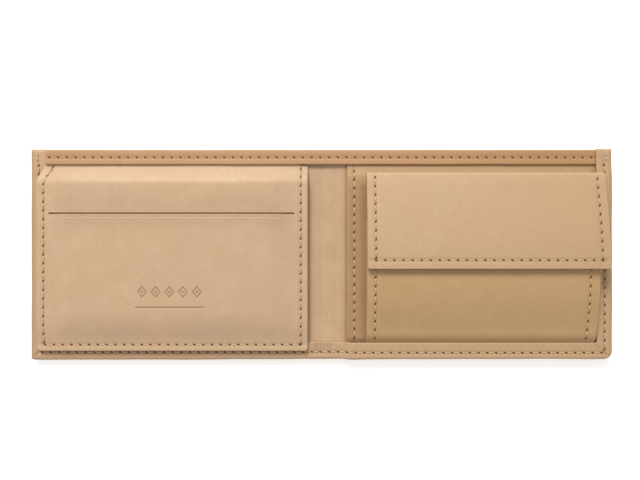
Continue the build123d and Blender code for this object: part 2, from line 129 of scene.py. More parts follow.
# %% The floor and the light
FLOOR_SIZE = 3.0
FLOOR_WHITE = 0.97
FLOOR_GLOW = 0.42
SURROUND_STRENGTH = 0.56
PANEL_PLACE, PANEL_SIZE, PANEL_POWER = (-0.20, 0.72, 0.60), 0.34, 8.5
WARM_WHITE, LAMP_WHITE = (1.0, 0.99, 0.97), (1.0, 0.985, 0.96)


def new_material(name):
    """A material, its node tree, and the inputs of its shader."""
    material = bpy.data.materials.new(name)
    material.use_nodes = True
    tree = material.node_tree
    return material, tree, tree.nodes["Principled BSDF"].inputs


def area_light(name, location, size, power, colour):
    """A square soft panel that looks at the middle of the wallet."""
    data = bpy.data.lights.new(name, "AREA")
    data.shape = "SQUARE"
    data.size = size
    data.energy = power
    data.color = colour
    light = bpy.data.objects.new(name, data)
    light.location = location
    towards = -light.location
    light.rotation_euler = towards.to_track_quat("-Z", "Y").to_euler()
    bpy.context.scene.collection.objects.link(light)
    return light


bpy.ops.mesh.primitive_plane_add(size=FLOOR_SIZE)
floor = bpy.context.object
floor.name = "floor"
acrylic, _, shader = new_material("white_acrylic")
shader["Base Color"].default_value = (FLOOR_WHITE, FLOOR_WHITE, FLOOR_WHITE, 1)
shader["Roughness"].default_value = 0.9
shader["Emission Color"].default_value = (1, 1, 1, 1)
shader["Emission Strength"].default_value = FLOOR_GLOW
floor.data.materials.append(acrylic)

world = bpy.data.worlds.new("surroundings")
world.use_nodes = True
surround = world.node_tree.nodes["Background"].inputs
surround["Color"].default_value = (*WARM_WHITE, 1)
surround["Strength"].default_value = SURROUND_STRENGTH
bpy.context.scene.world = world
area_light("soft_panel", PANEL_PLACE, PANEL_SIZE, PANEL_POWER, LAMP_WHITE)
bpy.context.scene.view_settings.view_transform = "Standard"
print("white floor", FLOOR_SIZE, "m across, one soft panel")

# %% [markdown]
# ## Grid lines, soft steps and a little unevenness
#
# Every leaf is a grid of points. The grid is coarse where leather lies smooth and fine along seams,
# creases and tooling. `soft_step` turns one height smoothly into another, and `unevenness` keeps a
# leaf from being ruler-straight: it is a sum of slow waves, so it is the same each time.

# %% Small helpers for shapes
def spread(low, high, step, fine=()):
    """Grid lines from low to high, with closer lines in each (from, to, step) of fine."""
    lines = list(np.linspace(low, high, max(2, int(round((high - low) / step)) + 1)))
    for start, end, close in fine:
        start, end = max(start, low), min(end, high)
        lines = [line for line in lines if not start - close / 2 < line < end + close / 2]
        lines += list(np.linspace(start, end, max(2, int(round((end - start) / close)) + 1)))
    lines = sorted(lines + [low, high])
    kept = [lines[0]]
    for line in lines[1:]:
        if line - kept[-1] > 0.02:
            kept.append(line)
    kept[-1] = high
    return np.array(kept)


def soft_step(value, start, end):
    """0 before start, 1 after end, and smooth between them."""
    share = np.clip((value - start) / (end - start), 0, 1)
    return share * share * (3 - 2 * share)


def unevenness(x, y, wave, phase):
    """A slow ripple between about -1 and 1, with its longest wave in millimetres."""
    a = np.sin(2 * math.pi * (x * 0.83 + y * 0.55) / wave + phase)
    b = np.sin(2 * math.pi * (x * -0.47 + y * 1.21) / wave + 2.3 * phase + 1.1)
    c = np.sin(2 * math.pi * (x * 1.93 - y * 0.71) / wave + 0.7 * phase + 2.9)
    return (a + b + 0.5 * c) / 2.5


def furrow(distance, width):
    """1 on a line and 0 away from it, as a thread or a creasing iron presses leather."""
    return np.exp(-((distance / (width / 2)) ** 2))


print("grid from 0 to 10:", spread(0, 10, 4, [(4, 5, 0.5)]).round(2))

# %% [markdown]
# Each mesh keeps a copy of where its points are while the wallet lies open, in an attribute called
# `rest`. The leather's grain and its needle holes are drawn from that copy, so they stay put on the
# leather when a leaf bends.

# %% Making a mesh
def make_piece(name, points, faces, materials, face_material=None, edge_radius=0.0):
    """A smooth mesh from points in millimetres. Edges between two materials are rounded off."""
    mesh = bpy.data.meshes.new(name)
    mesh.from_pydata((np.asarray(points) * MM).tolist(), [], [tuple(int(i) for i in f) for f in faces])
    for material in materials:
        mesh.materials.append(material)
    if face_material is not None:
        mesh.polygons.foreach_set("material_index", np.asarray(face_material, dtype=np.int32))
    work = bmesh.new()
    work.from_mesh(mesh)
    bmesh.ops.remove_doubles(work, verts=work.verts, dist=0.004 * MM)
    loose = [v for v in work.verts if not v.link_faces]
    bmesh.ops.delete(work, geom=loose, context="VERTS")
    bmesh.ops.recalc_face_normals(work, faces=work.faces)
    if edge_radius:
        sharp = [
            e for e in work.edges
            if len(e.link_faces) == 2 and e.link_faces[0].material_index != e.link_faces[1].material_index
        ]
        bmesh.ops.bevel(
            work, geom=sharp, offset=edge_radius * MM, segments=2, profile=0.5,
            affect="EDGES", clamp_overlap=True, material=1,
        )
    work.to_mesh(mesh)
    work.free()
    mesh.polygons.foreach_set("use_smooth", [True] * len(mesh.polygons))
    piece = bpy.data.objects.new(name, mesh)
    bpy.context.scene.collection.objects.link(piece)
    keep_rest(piece)
    return piece


def keep_rest(piece):
    """Stores where the piece's points are now, for its materials."""
    mesh = piece.data
    places = np.zeros(len(mesh.vertices) * 3, np.float32)
    mesh.vertices.foreach_get("co", places)
    rest = mesh.attributes.get("rest") or mesh.attributes.new("rest", "FLOAT_VECTOR", "POINT")
    rest.data.foreach_set("vector", places)


# %% [markdown]
# ## One leaf of leather
#
# A leaf is drawn by its grain side, as a grid of points. The flesh side lies one thickness below,
# measured along the surface, and a wall of cut edge joins the two. Cells of the grid may be left out,
# which makes a slit. The cut edges are rounded off, as a craftsman sands and burnishes them.

# %% A leaf from its grain side
def grid_normals(grain):
    """The outward direction of the grain side at each grid point."""
    across = np.gradient(grain, axis=0)
    along = np.gradient(grain, axis=1)
    normals = np.cross(across, along)
    return normals / np.linalg.norm(normals, axis=2, keepdims=True)


def leaf(name, grain, thickness, materials, left_out=None, edge_radius=0.16):
    """A closed leaf of leather. grain[i, j] is a point in millimetres, thickness a number or a grid."""
    rows, columns = grain.shape[:2]
    flesh = grain - grid_normals(grain) * np.broadcast_to(thickness, (rows, columns))[..., None]
    points = np.concatenate([grain.reshape(-1, 3), flesh.reshape(-1, 3)])
    number = np.arange(rows * columns).reshape(rows, columns)
    under = rows * columns
    present = np.ones((rows - 1, columns - 1), bool) if left_out is None else ~left_out
    faces, kinds = [], []
    for i, j in zip(*np.nonzero(present)):
        corners = [number[i, j], number[i + 1, j], number[i + 1, j + 1], number[i, j + 1]]
        faces += [corners, [c + under for c in reversed(corners)]]
        kinds += [0, 0]
        neighbours = [(i, j - 1), (i + 1, j), (i, j + 1), (i - 1, j)]
        for side, (m, n) in enumerate(neighbours):
            inside = 0 <= m < rows - 1 and 0 <= n < columns - 1
            if not (inside and present[m, n]):
                a, b = corners[side], corners[(side + 1) % 4]
                faces.append([b, a, a + under, b + under])
                kinds.append(1)
    return make_piece(name, points, faces, materials, kinds, edge_radius)


def fine_ends(low, high, reach, step):
    """Closer grid lines along both edges of a leaf."""
    return [(low, low + reach, step), (high - reach, high, step)]


def plan_grid(xs, ys):
    """The x and y of each point of a grid."""
    return np.meshgrid(xs, ys, indexing="ij")


def round_corner(x, y, corner, radius, into):
    """Pulls the points outside a rounded corner onto its arc. into points from the corner inwards."""
    centre = (corner[0] + into[0] * radius, corner[1] + into[1] * radius)
    dx, dy = x - centre[0], y - centre[1]
    outside = (dx * into[0] < 0) & (dy * into[1] < 0)
    reach = np.hypot(dx, dy)
    scale = np.where(outside & (reach > radius), radius / np.maximum(reach, 1e-9), 1.0)
    return centre[0] + dx * scale, centre[1] + dy * scale


def round_lower_corners(x, y, low, high, radius):
    """Rounds the two lower corners of a leaf."""
    x, y = round_corner(x, y, low, radius, (1, 1))
    return round_corner(x, y, (high[0], low[1]), radius, (-1, 1))


print("a leaf is grain side, flesh side and cut edge")

# %% [markdown]
# ## Materials
#
# The leather is vegetable-tanned and left undyed: pale, matt, with fine pores and a cloudy tone that
# comes from the hide. Effects that several leathers share are node groups, built once. A group gives
# out only colours, masks and heights. The shader itself stays in each material.

# %% Small helpers for shader nodes
FULL_LIGHT = 0.965


def display(red, green, blue):
    """A surface colour from how the leather looks in full light, 0 to 255."""
    scaled = [value / 255 for value in (red, green, blue)]
    linear = [v / 12.92 if v <= 0.04045 else ((v + 0.055) / 1.055) ** 2.4 for v in scaled]
    return tuple(v * FULL_LIGHT for v in linear)


def wire(tree, socket, value):
    """Sets an input socket, or links an output into it."""
    if isinstance(value, bpy.types.NodeSocket):
        tree.links.new(value, socket)
    elif hasattr(socket.default_value, "__len__") and len(value) < len(socket.default_value):
        socket.default_value = (*value, 1.0)
    else:
        socket.default_value = value


def add(tree, kind, inputs=None, **settings):
    """A node with its settings and its inputs, by name or by number."""
    made = tree.nodes.new(kind)
    for key, value in settings.items():
        setattr(made, key, value)
    for key, value in (inputs or {}).items():
        wire(tree, made.inputs[key], value)
    return made


def calc(tree, operation, *values):
    """One sum, as the output of a Math node."""
    return add(tree, "ShaderNodeMath", dict(enumerate(values)), operation=operation).outputs[0]


def vector_calc(tree, operation, *values):
    """One sum of vectors."""
    return add(tree, "ShaderNodeVectorMath", dict(enumerate(values)), operation=operation).outputs[0]


def noise(tree, place, scale, detail, roughness=0.5, distortion=0.0):
    """A cloudy texture, as a value."""
    inputs = {"Vector": place, "Scale": scale, "Detail": detail, "Roughness": roughness}
    return add(tree, "ShaderNodeTexNoise", {**inputs, "Distortion": distortion}).outputs[0]


def stored(tree, name, output="Fac"):
    """What a piece's mesh keeps under a name."""
    kept = add(tree, "ShaderNodeAttribute", attribute_name=name, attribute_type="GEOMETRY")
    return kept.outputs[output]


def pointiness(tree):
    """How sharply the surface bends outwards."""
    return add(tree, "ShaderNodeNewGeometry").outputs["Pointiness"]


def mix_colour(tree, share, first, second, blend="MIX"):
    """A mix of two colours."""
    made = tree.nodes.new("ShaderNodeMix")
    made.data_type = "RGBA"
    made.blend_type = blend
    wire(tree, made.inputs[0], share)
    wire(tree, made.inputs[6], first)
    wire(tree, made.inputs[7], second)
    return made.outputs[2]


def ramp(tree, value, start, end, low=0.0, high=1.0):
    """value from start..end to low..high, smoothly."""
    inputs = {"Value": value, "From Min": start, "From Max": end, "To Min": low, "To Max": high}
    return add(tree, "ShaderNodeMapRange", inputs, interpolation_type="SMOOTHSTEP").outputs[0]


def new_group(name, inputs, outputs):
    """An empty node group. inputs and outputs are (name, socket type, default)."""
    tree = bpy.data.node_groups.new(name, "ShaderNodeTree")
    for direction, sockets in (("INPUT", inputs), ("OUTPUT", outputs)):
        for label, kind, default in sockets:
            made = tree.interface.new_socket(label, in_out=direction, socket_type=kind)
            if default is not None:
                made.default_value = default
    return tree, tree.nodes.new("NodeGroupInput").outputs, tree.nodes.new("NodeGroupOutput").inputs


def use_group(tree, group, inputs):
    """A node group placed in a material, with its own values."""
    made = tree.nodes.new("ShaderNodeGroup")
    made.node_tree = group
    for key, value in inputs.items():
        wire(tree, made.inputs[key], value)
    return made.outputs


FLOAT, COLOUR, VECTOR = "NodeSocketFloat", "NodeSocketColor", "NodeSocketVector"

# %% [markdown]
# ### Grain
#
# Up close, smooth leather is a mosaic of tiny flat cells with pores between them. A Voronoi texture
# gives the cells, and fine noise breaks them up. Their height is far below a tenth of a millimetre.

# %% The grain group
grain_group, came, went = new_group(
    "Leather grain",
    [("Place", VECTOR, None), ("Cell", FLOAT, 0.45), ("Creasing", FLOAT, 0.3)],
    [("Height", FLOAT, None), ("Shade", FLOAT, None)],
)
rate = calc(grain_group, "DIVIDE", 1.0, came["Cell"])
bend = add(grain_group, "ShaderNodeTexNoise", {"Vector": came["Place"], "Scale": 1.3, "Detail": 3.0})
bent = vector_calc(grain_group, "MULTIPLY", bend.outputs["Color"], (0.35, 0.35, 0.35))
moved = vector_calc(grain_group, "ADD", came["Place"], bent)
cells = add(grain_group, "ShaderNodeTexVoronoi", {"Vector": moved, "Scale": rate}, feature="DISTANCE_TO_EDGE")
cell_tops = ramp(grain_group, cells.outputs["Distance"], 0.0, 0.22)
fine = noise(grain_group, came["Place"], 5.0, 6.0, 0.65)
slow = noise(grain_group, came["Place"], 0.42, 5.0, 0.6)
lines = noise(grain_group, came["Place"], 0.75, 6.0, 0.7, 1.6)
wrinkle = calc(grain_group, "ABSOLUTE", calc(grain_group, "SUBTRACT", lines, 0.5))
wrinkle = ramp(grain_group, wrinkle, 0.0, 0.035)
height = calc(grain_group, "MULTIPLY_ADD", fine, 0.5, calc(grain_group, "MULTIPLY", cell_tops, 0.45))
height = calc(grain_group, "MULTIPLY_ADD", wrinkle, came["Creasing"], height)
wire(grain_group, went["Height"], calc(grain_group, "MULTIPLY_ADD", slow, 0.6, height))
shade = calc(grain_group, "MULTIPLY", fine, 0.65)
wire(grain_group, went["Shade"], calc(grain_group, "MULTIPLY_ADD", cell_tops, 0.35, shade))
print("grain group:", len(grain_group.nodes), "nodes")

# %% [markdown]
# ### Clouds of tone
#
# Undyed leather drifts between a pinkish and a yellowish tan over a few centimetres, with smaller
# freckles on top. Two noises of different size choose between three colours.

# %% The tone group
tone_group, came, went = new_group(
    "Hide tone",
    [("Place", VECTOR, None), ("Colour", COLOUR, None), ("Warm", COLOUR, None), ("Pale", COLOUR, None),
     ("Amount", FLOAT, 0.5), ("Freckles", FLOAT, 0.15)],
    [("Colour", COLOUR, None)],
)
clouds = noise(tone_group, came["Place"], 0.035, 3.0, 0.55)
patches = noise(tone_group, came["Place"], 0.13, 4.0, 0.6)
specks = noise(tone_group, came["Place"], 1.7, 5.0, 0.7)
warm_share = calc(tone_group, "MULTIPLY", ramp(tone_group, clouds, 0.40, 0.62), came["Amount"])
pale_share = calc(tone_group, "MULTIPLY", ramp(tone_group, patches, 0.42, 0.68), came["Amount"])
toned = mix_colour(tone_group, warm_share, came["Colour"], came["Warm"])
toned = mix_colour(tone_group, pale_share, toned, came["Pale"])
speck_share = calc(tone_group, "MULTIPLY", ramp(tone_group, specks, 0.52, 0.72), came["Freckles"])
dark = mix_colour(tone_group, 1.0, toned, (0.72, 0.62, 0.52), "MULTIPLY")
wire(tone_group, went["Colour"], mix_colour(tone_group, speck_share, toned, dark))
print("tone group:", len(tone_group.nodes), "nodes")

# %% [markdown]
# ### Needle holes
#
# A saddle stitch goes through slanted holes that an awl or a pricking iron opened. Between two
# stitches one sees the hole: a short ellipse, painted dark as the shade inside it. The group repeats an
# ellipse along one straight row, and also presses the leather down a little along the whole row.

# %% The needle hole group
STITCH_PITCH = 3.1
HOLE_LENGTH, HOLE_WIDTH, HOLE_SLANT = 1.22, 0.68, 0.48

hole_group, came, went = new_group(
    "Needle holes",
    [("Place", VECTOR, None), ("Runs Along Y", FLOAT, 0.0), ("Across", FLOAT, 0.0), ("First", FLOAT, 0.0),
     ("Count", FLOAT, 10.0), ("Slant", FLOAT, HOLE_SLANT), ("Lean", FLOAT, 0.0), ("Lean From", FLOAT, 0.0)],
    [("Hole", FLOAT, None), ("Press", FLOAT, None)],
)
parts = add(hole_group, "ShaderNodeSeparateXYZ", {0: came["Place"]}).outputs
swap = came["Runs Along Y"]
difference = calc(hole_group, "SUBTRACT", parts[1], parts[0])
along = calc(hole_group, "MULTIPLY_ADD", difference, swap, parts[0])
across = calc(hole_group, "SUBTRACT", parts[1], calc(hole_group, "MULTIPLY", difference, swap))
across = calc(hole_group, "SUBTRACT", across, came["Across"])
beyond = calc(hole_group, "MAXIMUM", calc(hole_group, "SUBTRACT", along, came["Lean From"]), 0.0)
across = calc(hole_group, "SUBTRACT", across, calc(hole_group, "MULTIPLY", beyond, came["Lean"]))
turns = calc(hole_group, "DIVIDE", calc(hole_group, "SUBTRACT", along, came["First"]), STITCH_PITCH)
nearest = calc(hole_group, "ROUND", turns)
inside = calc(hole_group, "MULTIPLY", calc(hole_group, "GREATER_THAN", nearest, -0.5),
              calc(hole_group, "LESS_THAN", nearest, calc(hole_group, "ADD", came["Count"], 0.5)))
offset = calc(hole_group, "MULTIPLY", calc(hole_group, "SUBTRACT", turns, nearest), STITCH_PITCH)
long_way = calc(hole_group, "MULTIPLY_ADD", across, came["Slant"], offset)
short_way = calc(hole_group, "SUBTRACT", across, calc(hole_group, "MULTIPLY", offset, came["Slant"]))
long_share = calc(hole_group, "POWER", calc(hole_group, "DIVIDE", long_way, HOLE_LENGTH / 2), 2.0)
short_share = calc(hole_group, "POWER", calc(hole_group, "DIVIDE", short_way, HOLE_WIDTH / 2), 2.0)
reach = calc(hole_group, "ADD", long_share, short_share)
hole = calc(hole_group, "MULTIPLY", ramp(hole_group, reach, 1.35, 0.55), inside)
wire(hole_group, went["Hole"], hole)
away = calc(hole_group, "ABSOLUTE", across)
wire(hole_group, went["Press"], calc(hole_group, "MULTIPLY", ramp(hole_group, away, 1.1, 0.2), inside))
print("needle hole group:", len(hole_group.nodes), "nodes")

# %% [markdown]
# ### Rows of stitches
#
# A row is a straight line of evenly spaced holes. The leathers and the threads read the same rows, so
# the holes always lie between the stitches.

# %% Rows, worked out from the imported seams
Row = namedtuple("Row", "along_y across first count lean lean_from")


def row(along_y, across, low, high, lean=0.0, lean_from=0.0):
    """A row of whole stitches, centred between low and high. Past lean_from it leans sideways."""
    count = int((high - low) / STITCH_PITCH + 0.01)
    return Row(along_y, across, (low + high) / 2 - count * STITCH_PITCH / 2, count, lean, lean_from)


def row_place(seam, along):
    """The x and y of a point along a row."""
    across = seam.across + seam.lean * max(along - seam.lean_from, 0.0)
    return (across, along) if seam.along_y else (along, across)


HALF_THREAD = 0.3
SEAM_INSET = box("perimeter_seam_left")[0][0] + HALF_THREAD - LEFT
BAND_SEAM_Y = (box("band_seam_left")[0][1] + box("band_seam_left")[1][1]) / 2
LEAF_SEAM_LOW, LEAF_SEAM_HIGH = box("leaf_seam")
PANEL_SEAM_LOW, PANEL_SEAM_HIGH = box("panel_edge_seam")
POCKET_SEAM_LOW, POCKET_SEAM_HIGH = box("pocket_side_seams")
LEAF_SEAM_Y = LEAF_LOW[1] + 2.1
TACK_LENGTH = 3.0
TACK_BOTTOM = box("tack_left")[1][1] - TACK_LENGTH

rim_rows = {
    "left": row(1, LEFT + SEAM_INSET, BOTTOM + SEAM_INSET, TACK_BOTTOM - 0.3),
    "bottom": row(0, BOTTOM + SEAM_INSET, LEFT + SEAM_INSET, RIGHT - SEAM_INSET),
    "right": row(1, RIGHT - SEAM_INSET, BOTTOM + SEAM_INSET, TACK_BOTTOM - 0.3),
}
band_rows = {"band": row(0, BAND_SEAM_Y, BAND_LOW[0] + 1, BAND_RIGHT - 1)}
leaf_rows = {
    "left": row(1, LEAF_SEAM_LOW[0] + HALF_THREAD, LEAF_SEAM_Y, 31.9, 0.46, 25.8),
    "bottom": row(0, LEAF_SEAM_Y, LEAF_SEAM_LOW[0] + HALF_THREAD, LEAF_SEAM_HIGH[0] - HALF_THREAD),
    "right": row(1, LEAF_SEAM_HIGH[0] - HALF_THREAD, LEAF_SEAM_Y, LEAF_HIGH[1] - 0.6),
}
panel_seam_x = (PANEL_SEAM_LOW[0] + PANEL_SEAM_HIGH[0]) / 2
panel_rows = {"edge": row(1, panel_seam_x, HEM_HIGH[1] + 0.4, BAND_LOW[1] - 0.9)}
pocket_rows = {
    "left": row(1, POCKET_SEAM_LOW[0] + HALF_THREAD, HEM_HIGH[1] + 1.5, FRONT_HIGH[1] - 0.8),
    "right": row(1, POCKET_SEAM_HIGH[0] - HALF_THREAD, HEM_HIGH[1] + 1.5, FRONT_HIGH[1] - 0.8),
}
FLAP_INSET = box("flap_seam")[0][0] + HALF_THREAD - FLAP_LOW[0]
flap_rows = {
    "left": row(1, FLAP_LOW[0] + FLAP_INSET, FLAP_LOW[1] + FLAP_INSET, FLAP_HIGH[1] - 1.0),
    "bottom": row(0, FLAP_LOW[1] + FLAP_INSET, FLAP_LOW[0] + FLAP_INSET, FLAP_HIGH[0] - FLAP_INSET),
    "right": row(1, FLAP_HIGH[0] - FLAP_INSET, FLAP_LOW[1] + FLAP_INSET, FLAP_HIGH[1] - 2.2),
}
all_rows = [rim_rows, band_rows, leaf_rows, panel_rows, pocket_rows, flap_rows]
print("stitches:", sum(r.count for rows in all_rows for r in rows.values()))

# %% [markdown]
# ### The leathers
#
# One function makes every leather, because the wallet is cut from one hide. What differs is the tone
# of each cut, how creased it is, and which rows of holes run through it. Pointiness finds the rounded
# edges, where handling has polished the leather a little paler.

# %% Leather and its cut edge
# The second tint darkens tooled lines and worn edges, and is also painted shade in creases, folds and gaps.
PORE_TINT, TOOLING_WEAR_AND_SHADE_TINT, SEAM_TINT = (0.55, 0.42, 0.30), (0.42, 0.29, 0.20), (0.72, 0.60, 0.48)
# The hole colour is painted shade inside the needle holes.
HOLE_SHADE_COLOUR = display(74, 40, 18)


def rest_place(tree):
    """Where a point lies while the wallet is open, in millimetres."""
    inputs = {0: stored(tree, "rest", "Vector"), 3: 1 / MM}
    return add(tree, "ShaderNodeVectorMath", inputs, operation="SCALE").outputs[0]


def leather(name, colour, warm, pale, rows=None, creasing=0.25, cell=0.42, drift=None):
    """A leather with the needle holes of its rows. drift is two places on X and a second colour."""
    material, tree, shader = new_material(name)
    place = rest_place(tree)
    toned = use_group(tree, tone_group, {
        "Place": place, "Colour": colour, "Warm": warm, "Pale": pale, "Amount": 0.38, "Freckles": 0.22,
    })["Colour"]
    if drift:
        x = add(tree, "ShaderNodeSeparateXYZ", {0: place}).outputs[0]
        toned = mix_colour(tree, ramp(tree, x, drift[0], drift[1]), toned, drift[2])
    grain = use_group(tree, grain_group, {"Place": place, "Cell": cell, "Creasing": creasing})
    pores = ramp(tree, grain["Shade"], 0.15, 0.72, 0.36, 0.0)
    shaded = mix_colour(tree, pores, toned, PORE_TINT, "MULTIPLY")
    shaded = mix_colour(tree, ramp(tree, pointiness(tree), 0.515, 0.60, 0.0, 0.35), shaded, pale)
    # Stored darkening: tooled lines and worn edges, plus painted shade in creases, folds and gaps.
    pressed = calc(tree, "MULTIPLY", stored(tree, "press"), 0.62)
    shaded = mix_colour(tree, pressed, shaded, TOOLING_WEAR_AND_SHADE_TINT, "MULTIPLY")
    height = calc(tree, "MULTIPLY", grain["Height"], 0.16)
    for seam in (rows or {}).values():
        holes = use_group(tree, hole_group, {
            "Place": place, "Runs Along Y": float(seam.along_y), "Across": seam.across,
            "First": seam.first, "Count": float(seam.count), "Lean": seam.lean, "Lean From": seam.lean_from,
            "Slant": HOLE_SLANT if seam.along_y else -HOLE_SLANT,
        })
        rubbed = calc(tree, "MULTIPLY", holes["Press"], 0.20)
        shaded = mix_colour(tree, rubbed, shaded, SEAM_TINT, "MULTIPLY")
        # Painted shade inside each needle hole.
        shaded = mix_colour(tree, calc(tree, "MULTIPLY", holes["Hole"], 0.93), shaded, HOLE_SHADE_COLOUR)
        height = calc(tree, "SUBTRACT", height, holes["Hole"])
        height = calc(tree, "SUBTRACT", height, calc(tree, "MULTIPLY", holes["Press"], 0.25))
    bump = add(tree, "ShaderNodeBump", {"Strength": 0.55, "Distance": 0.22 * MM, "Height": height})
    wire(tree, shader["Base Color"], shaded)
    wire(tree, shader["Roughness"], ramp(tree, grain["Shade"], 0.2, 0.8, 0.62, 0.48))
    wire(tree, shader["Normal"], bump.outputs[0])
    shader["Specular IOR Level"].default_value = 0.35
    shader["Sheen Weight"].default_value = 0.06
    shader["Sheen Roughness"].default_value = 0.5
    return material


def cut_edge(name, colour):
    """The cut edge of a leaf: fibrous, a little darker, burnished with wax."""
    material, tree, shader = new_material(name)
    squeezed = vector_calc(tree, "MULTIPLY", rest_place(tree), (0.6, 0.6, 6.0))
    fibres = noise(tree, squeezed, 1.4, 5.0, 0.7)
    share = ramp(tree, fibres, 0.35, 0.68)
    darker = tuple(value * 0.62 for value in colour)
    wire(tree, shader["Base Color"], mix_colour(tree, share, darker, colour))
    bump = add(tree, "ShaderNodeBump", {"Strength": 0.5, "Distance": 0.1 * MM, "Height": fibres})
    wire(tree, shader["Normal"], bump.outputs[0])
    wire(tree, shader["Roughness"], ramp(tree, share, 0.0, 1.0, 0.6, 0.42))
    return material


WARM, PALE = display(207, 171, 138), display(212, 184, 150)
SUNNED = display(199, 165, 126), display(187, 145, 102), display(197, 164, 127)
tones = {
    "cover": (display(200, 167, 132), display(200, 163, 126), display(207, 176, 143), rim_rows),
    "divider": (display(200, 168, 134), WARM, PALE),
    "band": (display(196, 153, 113), display(193, 148, 108), display(201, 159, 121), band_rows),
    "leaf": (display(203, 173, 140), WARM, PALE, leaf_rows),
    # The coin panel's tone is darker than the leaf's: partly its own ochre, partly painted shade of the
    # hollow beside the pocket.
    "panel": (display(187, 152, 110), display(184, 147, 104), display(194, 160, 120), panel_rows),
    "pocket": (display(197, 162, 117), display(193, 156, 110), display(202, 168, 124), pocket_rows),
    # The gusset's tone is a darker copy of the leather: painted shade of the fold beside the pocket.
    "gusset": (display(178, 142, 104), display(176, 138, 98), display(185, 150, 112), panel_rows),
    "flap": (display(199, 167, 132), display(200, 164, 129), display(205, 174, 140), flap_rows),
    "lining": (display(205, 174, 140), WARM, PALE, flap_rows),
}
extras = {
    "cover": {"creasing": 0.35, "drift": (20.0, 90.0, SUNNED[0])},
    "band": {"drift": (10.0, 95.0, SUNNED[1])},
    "pocket": {"creasing": 0.2},
    "gusset": {"creasing": 0.6},
    "flap": {"drift": (40.0, 99.0, SUNNED[2])},
    "lining": {"cell": 0.6, "creasing": 0.45},
}
leathers = {cut: leather(cut + "_leather", *tones[cut], **extras.get(cut, {})) for cut in tones}
edge_leather = cut_edge("cut_edge_leather", display(196, 158, 118))
print("leathers:", ", ".join(leathers))

# %% [markdown]
# ## The cover
#
# The cover is one piece of leather. Its left, bottom and right edges are turned in over the inner
# leaves and sewn down, and its corners are mitred. The turned edge is one closed profile, swept round
# three sides. Inside it lies a flat plate that shares the sweep's innermost points.

# %% The turned edge of the cover
COVER = DIVIDER_LOW[2]
WALL = DIVIDER_LOW[0] - LEFT
TURN_IN_WIDTH = BAND_LOW[0] - LEFT
BOTTOM_TURN_IN = HEM_HIGH[1] - BOTTOM
TURN_IN = RIM_LEFT - DIVIDER_TOP
FLAT_INSET = TURN_IN_WIDTH + 1.5
LEFT_RADIUS, RIGHT_RADIUS = 1.0, 3.0


def rim_top(x):
    """The level of the turned edge. It climbs onto the coin panel right of the spine."""
    return RIM_LEFT + (RIM_RIGHT - RIM_LEFT) * soft_step(x, SPINE_RIGHT - 0.5, SPINE_RIGHT + 3.0)


def rim_level(x, y):
    """The level of the turned edge, which sinks a little where it meets the band on the right."""
    return rim_top(x) - 0.45 * soft_step(y, 27.0, 33.0) * soft_step(x, RIGHT - 12, RIGHT - 8)


def deep(inset):
    """The inset along the bottom, where the turned edge is a little wider than at the sides."""
    return inset + (BOTTOM_TURN_IN - TURN_IN_WIDTH) * soft_step(inset, SEAM_INSET + 0.3, TURN_IN_WIDTH)


def rim_profile():
    """Insets, and shares of the rim's height, from the plate's top round the edge to its underside."""
    outer, lower = 0.75, 0.5
    profile = [(inset, "low", COVER) for inset in (FLAT_INSET, 4.0, WALL + 0.3)]
    profile.append((WALL, "low", COVER + 0.3))
    profile += [(WALL, "high", -TURN_IN - 0.25), (WALL + 0.25, "high", -TURN_IN), (4.0, "high", -TURN_IN)]
    tip_start = len(profile)
    profile += [(TURN_IN_WIDTH - 0.12, "high", -TURN_IN), (TURN_IN_WIDTH, "high", -TURN_IN + 0.15)]
    profile += [(TURN_IN_WIDTH, "high", -0.28), (TURN_IN_WIDTH - 0.08, "high", -0.1)]
    tip_end = len(profile) - 1
    profile += [(inset, "high", 0.0) for inset in np.linspace(TURN_IN_WIDTH - 0.28, outer, 22)]
    for turn in np.linspace(15, 90, 6) * math.pi / 180:
        profile.append((outer - outer * math.sin(turn), "high", outer * math.cos(turn) - outer))
    for turn in np.linspace(0, 90, 5) * math.pi / 180:
        profile.append((lower - lower * math.cos(turn), "low", lower - lower * math.sin(turn)))
    profile += [(inset, "low", 0.0) for inset in np.linspace(1.0, FLAT_INSET, 19)]
    return profile, tip_start, tip_end


def edge_stations(side_ys, bottom_xs):
    """For each station along the edge, a function that places an inset on the plan."""
    stations = []
    for y in side_ys[::-1]:
        stations.append(lambda d, y=y: (LEFT + d, max(y, BOTTOM + deep(d))))
    for turn in np.linspace(0, math.pi / 2, 9)[1:-1]:
        outwards = (-math.cos(turn), -math.sin(turn))
        stations.append(lambda d, way=outwards: corner_place(d, LEFT_RADIUS, LEFT, 1, way))
    for x in bottom_xs:
        stations.append(lambda d, x=x: (min(max(x, LEFT + d), RIGHT - d), BOTTOM + deep(d)))
    for turn in np.linspace(0, math.pi / 2, 9)[1:-1]:
        outwards = (math.sin(turn), -math.cos(turn))
        stations.append(lambda d, way=outwards: corner_place(d, RIGHT_RADIUS, RIGHT, -1, way))
    for y in side_ys:
        stations.append(lambda d, y=y: (RIGHT - d, max(y, BOTTOM + max(deep(d), RIGHT_RADIUS))))
    return stations


def corner_place(inset, radius, side, into, outwards):
    """A point of a rounded, mitred corner. Beyond the radius all stations meet on the mitre."""
    centre = (side + into * radius, BOTTOM + radius)
    if inset >= radius:
        return centre[0] + into * (inset - radius), centre[1] + deep(inset) - radius
    return centre[0] + outwards[0] * (radius - inset), centre[1] + outwards[1] * (radius - inset)


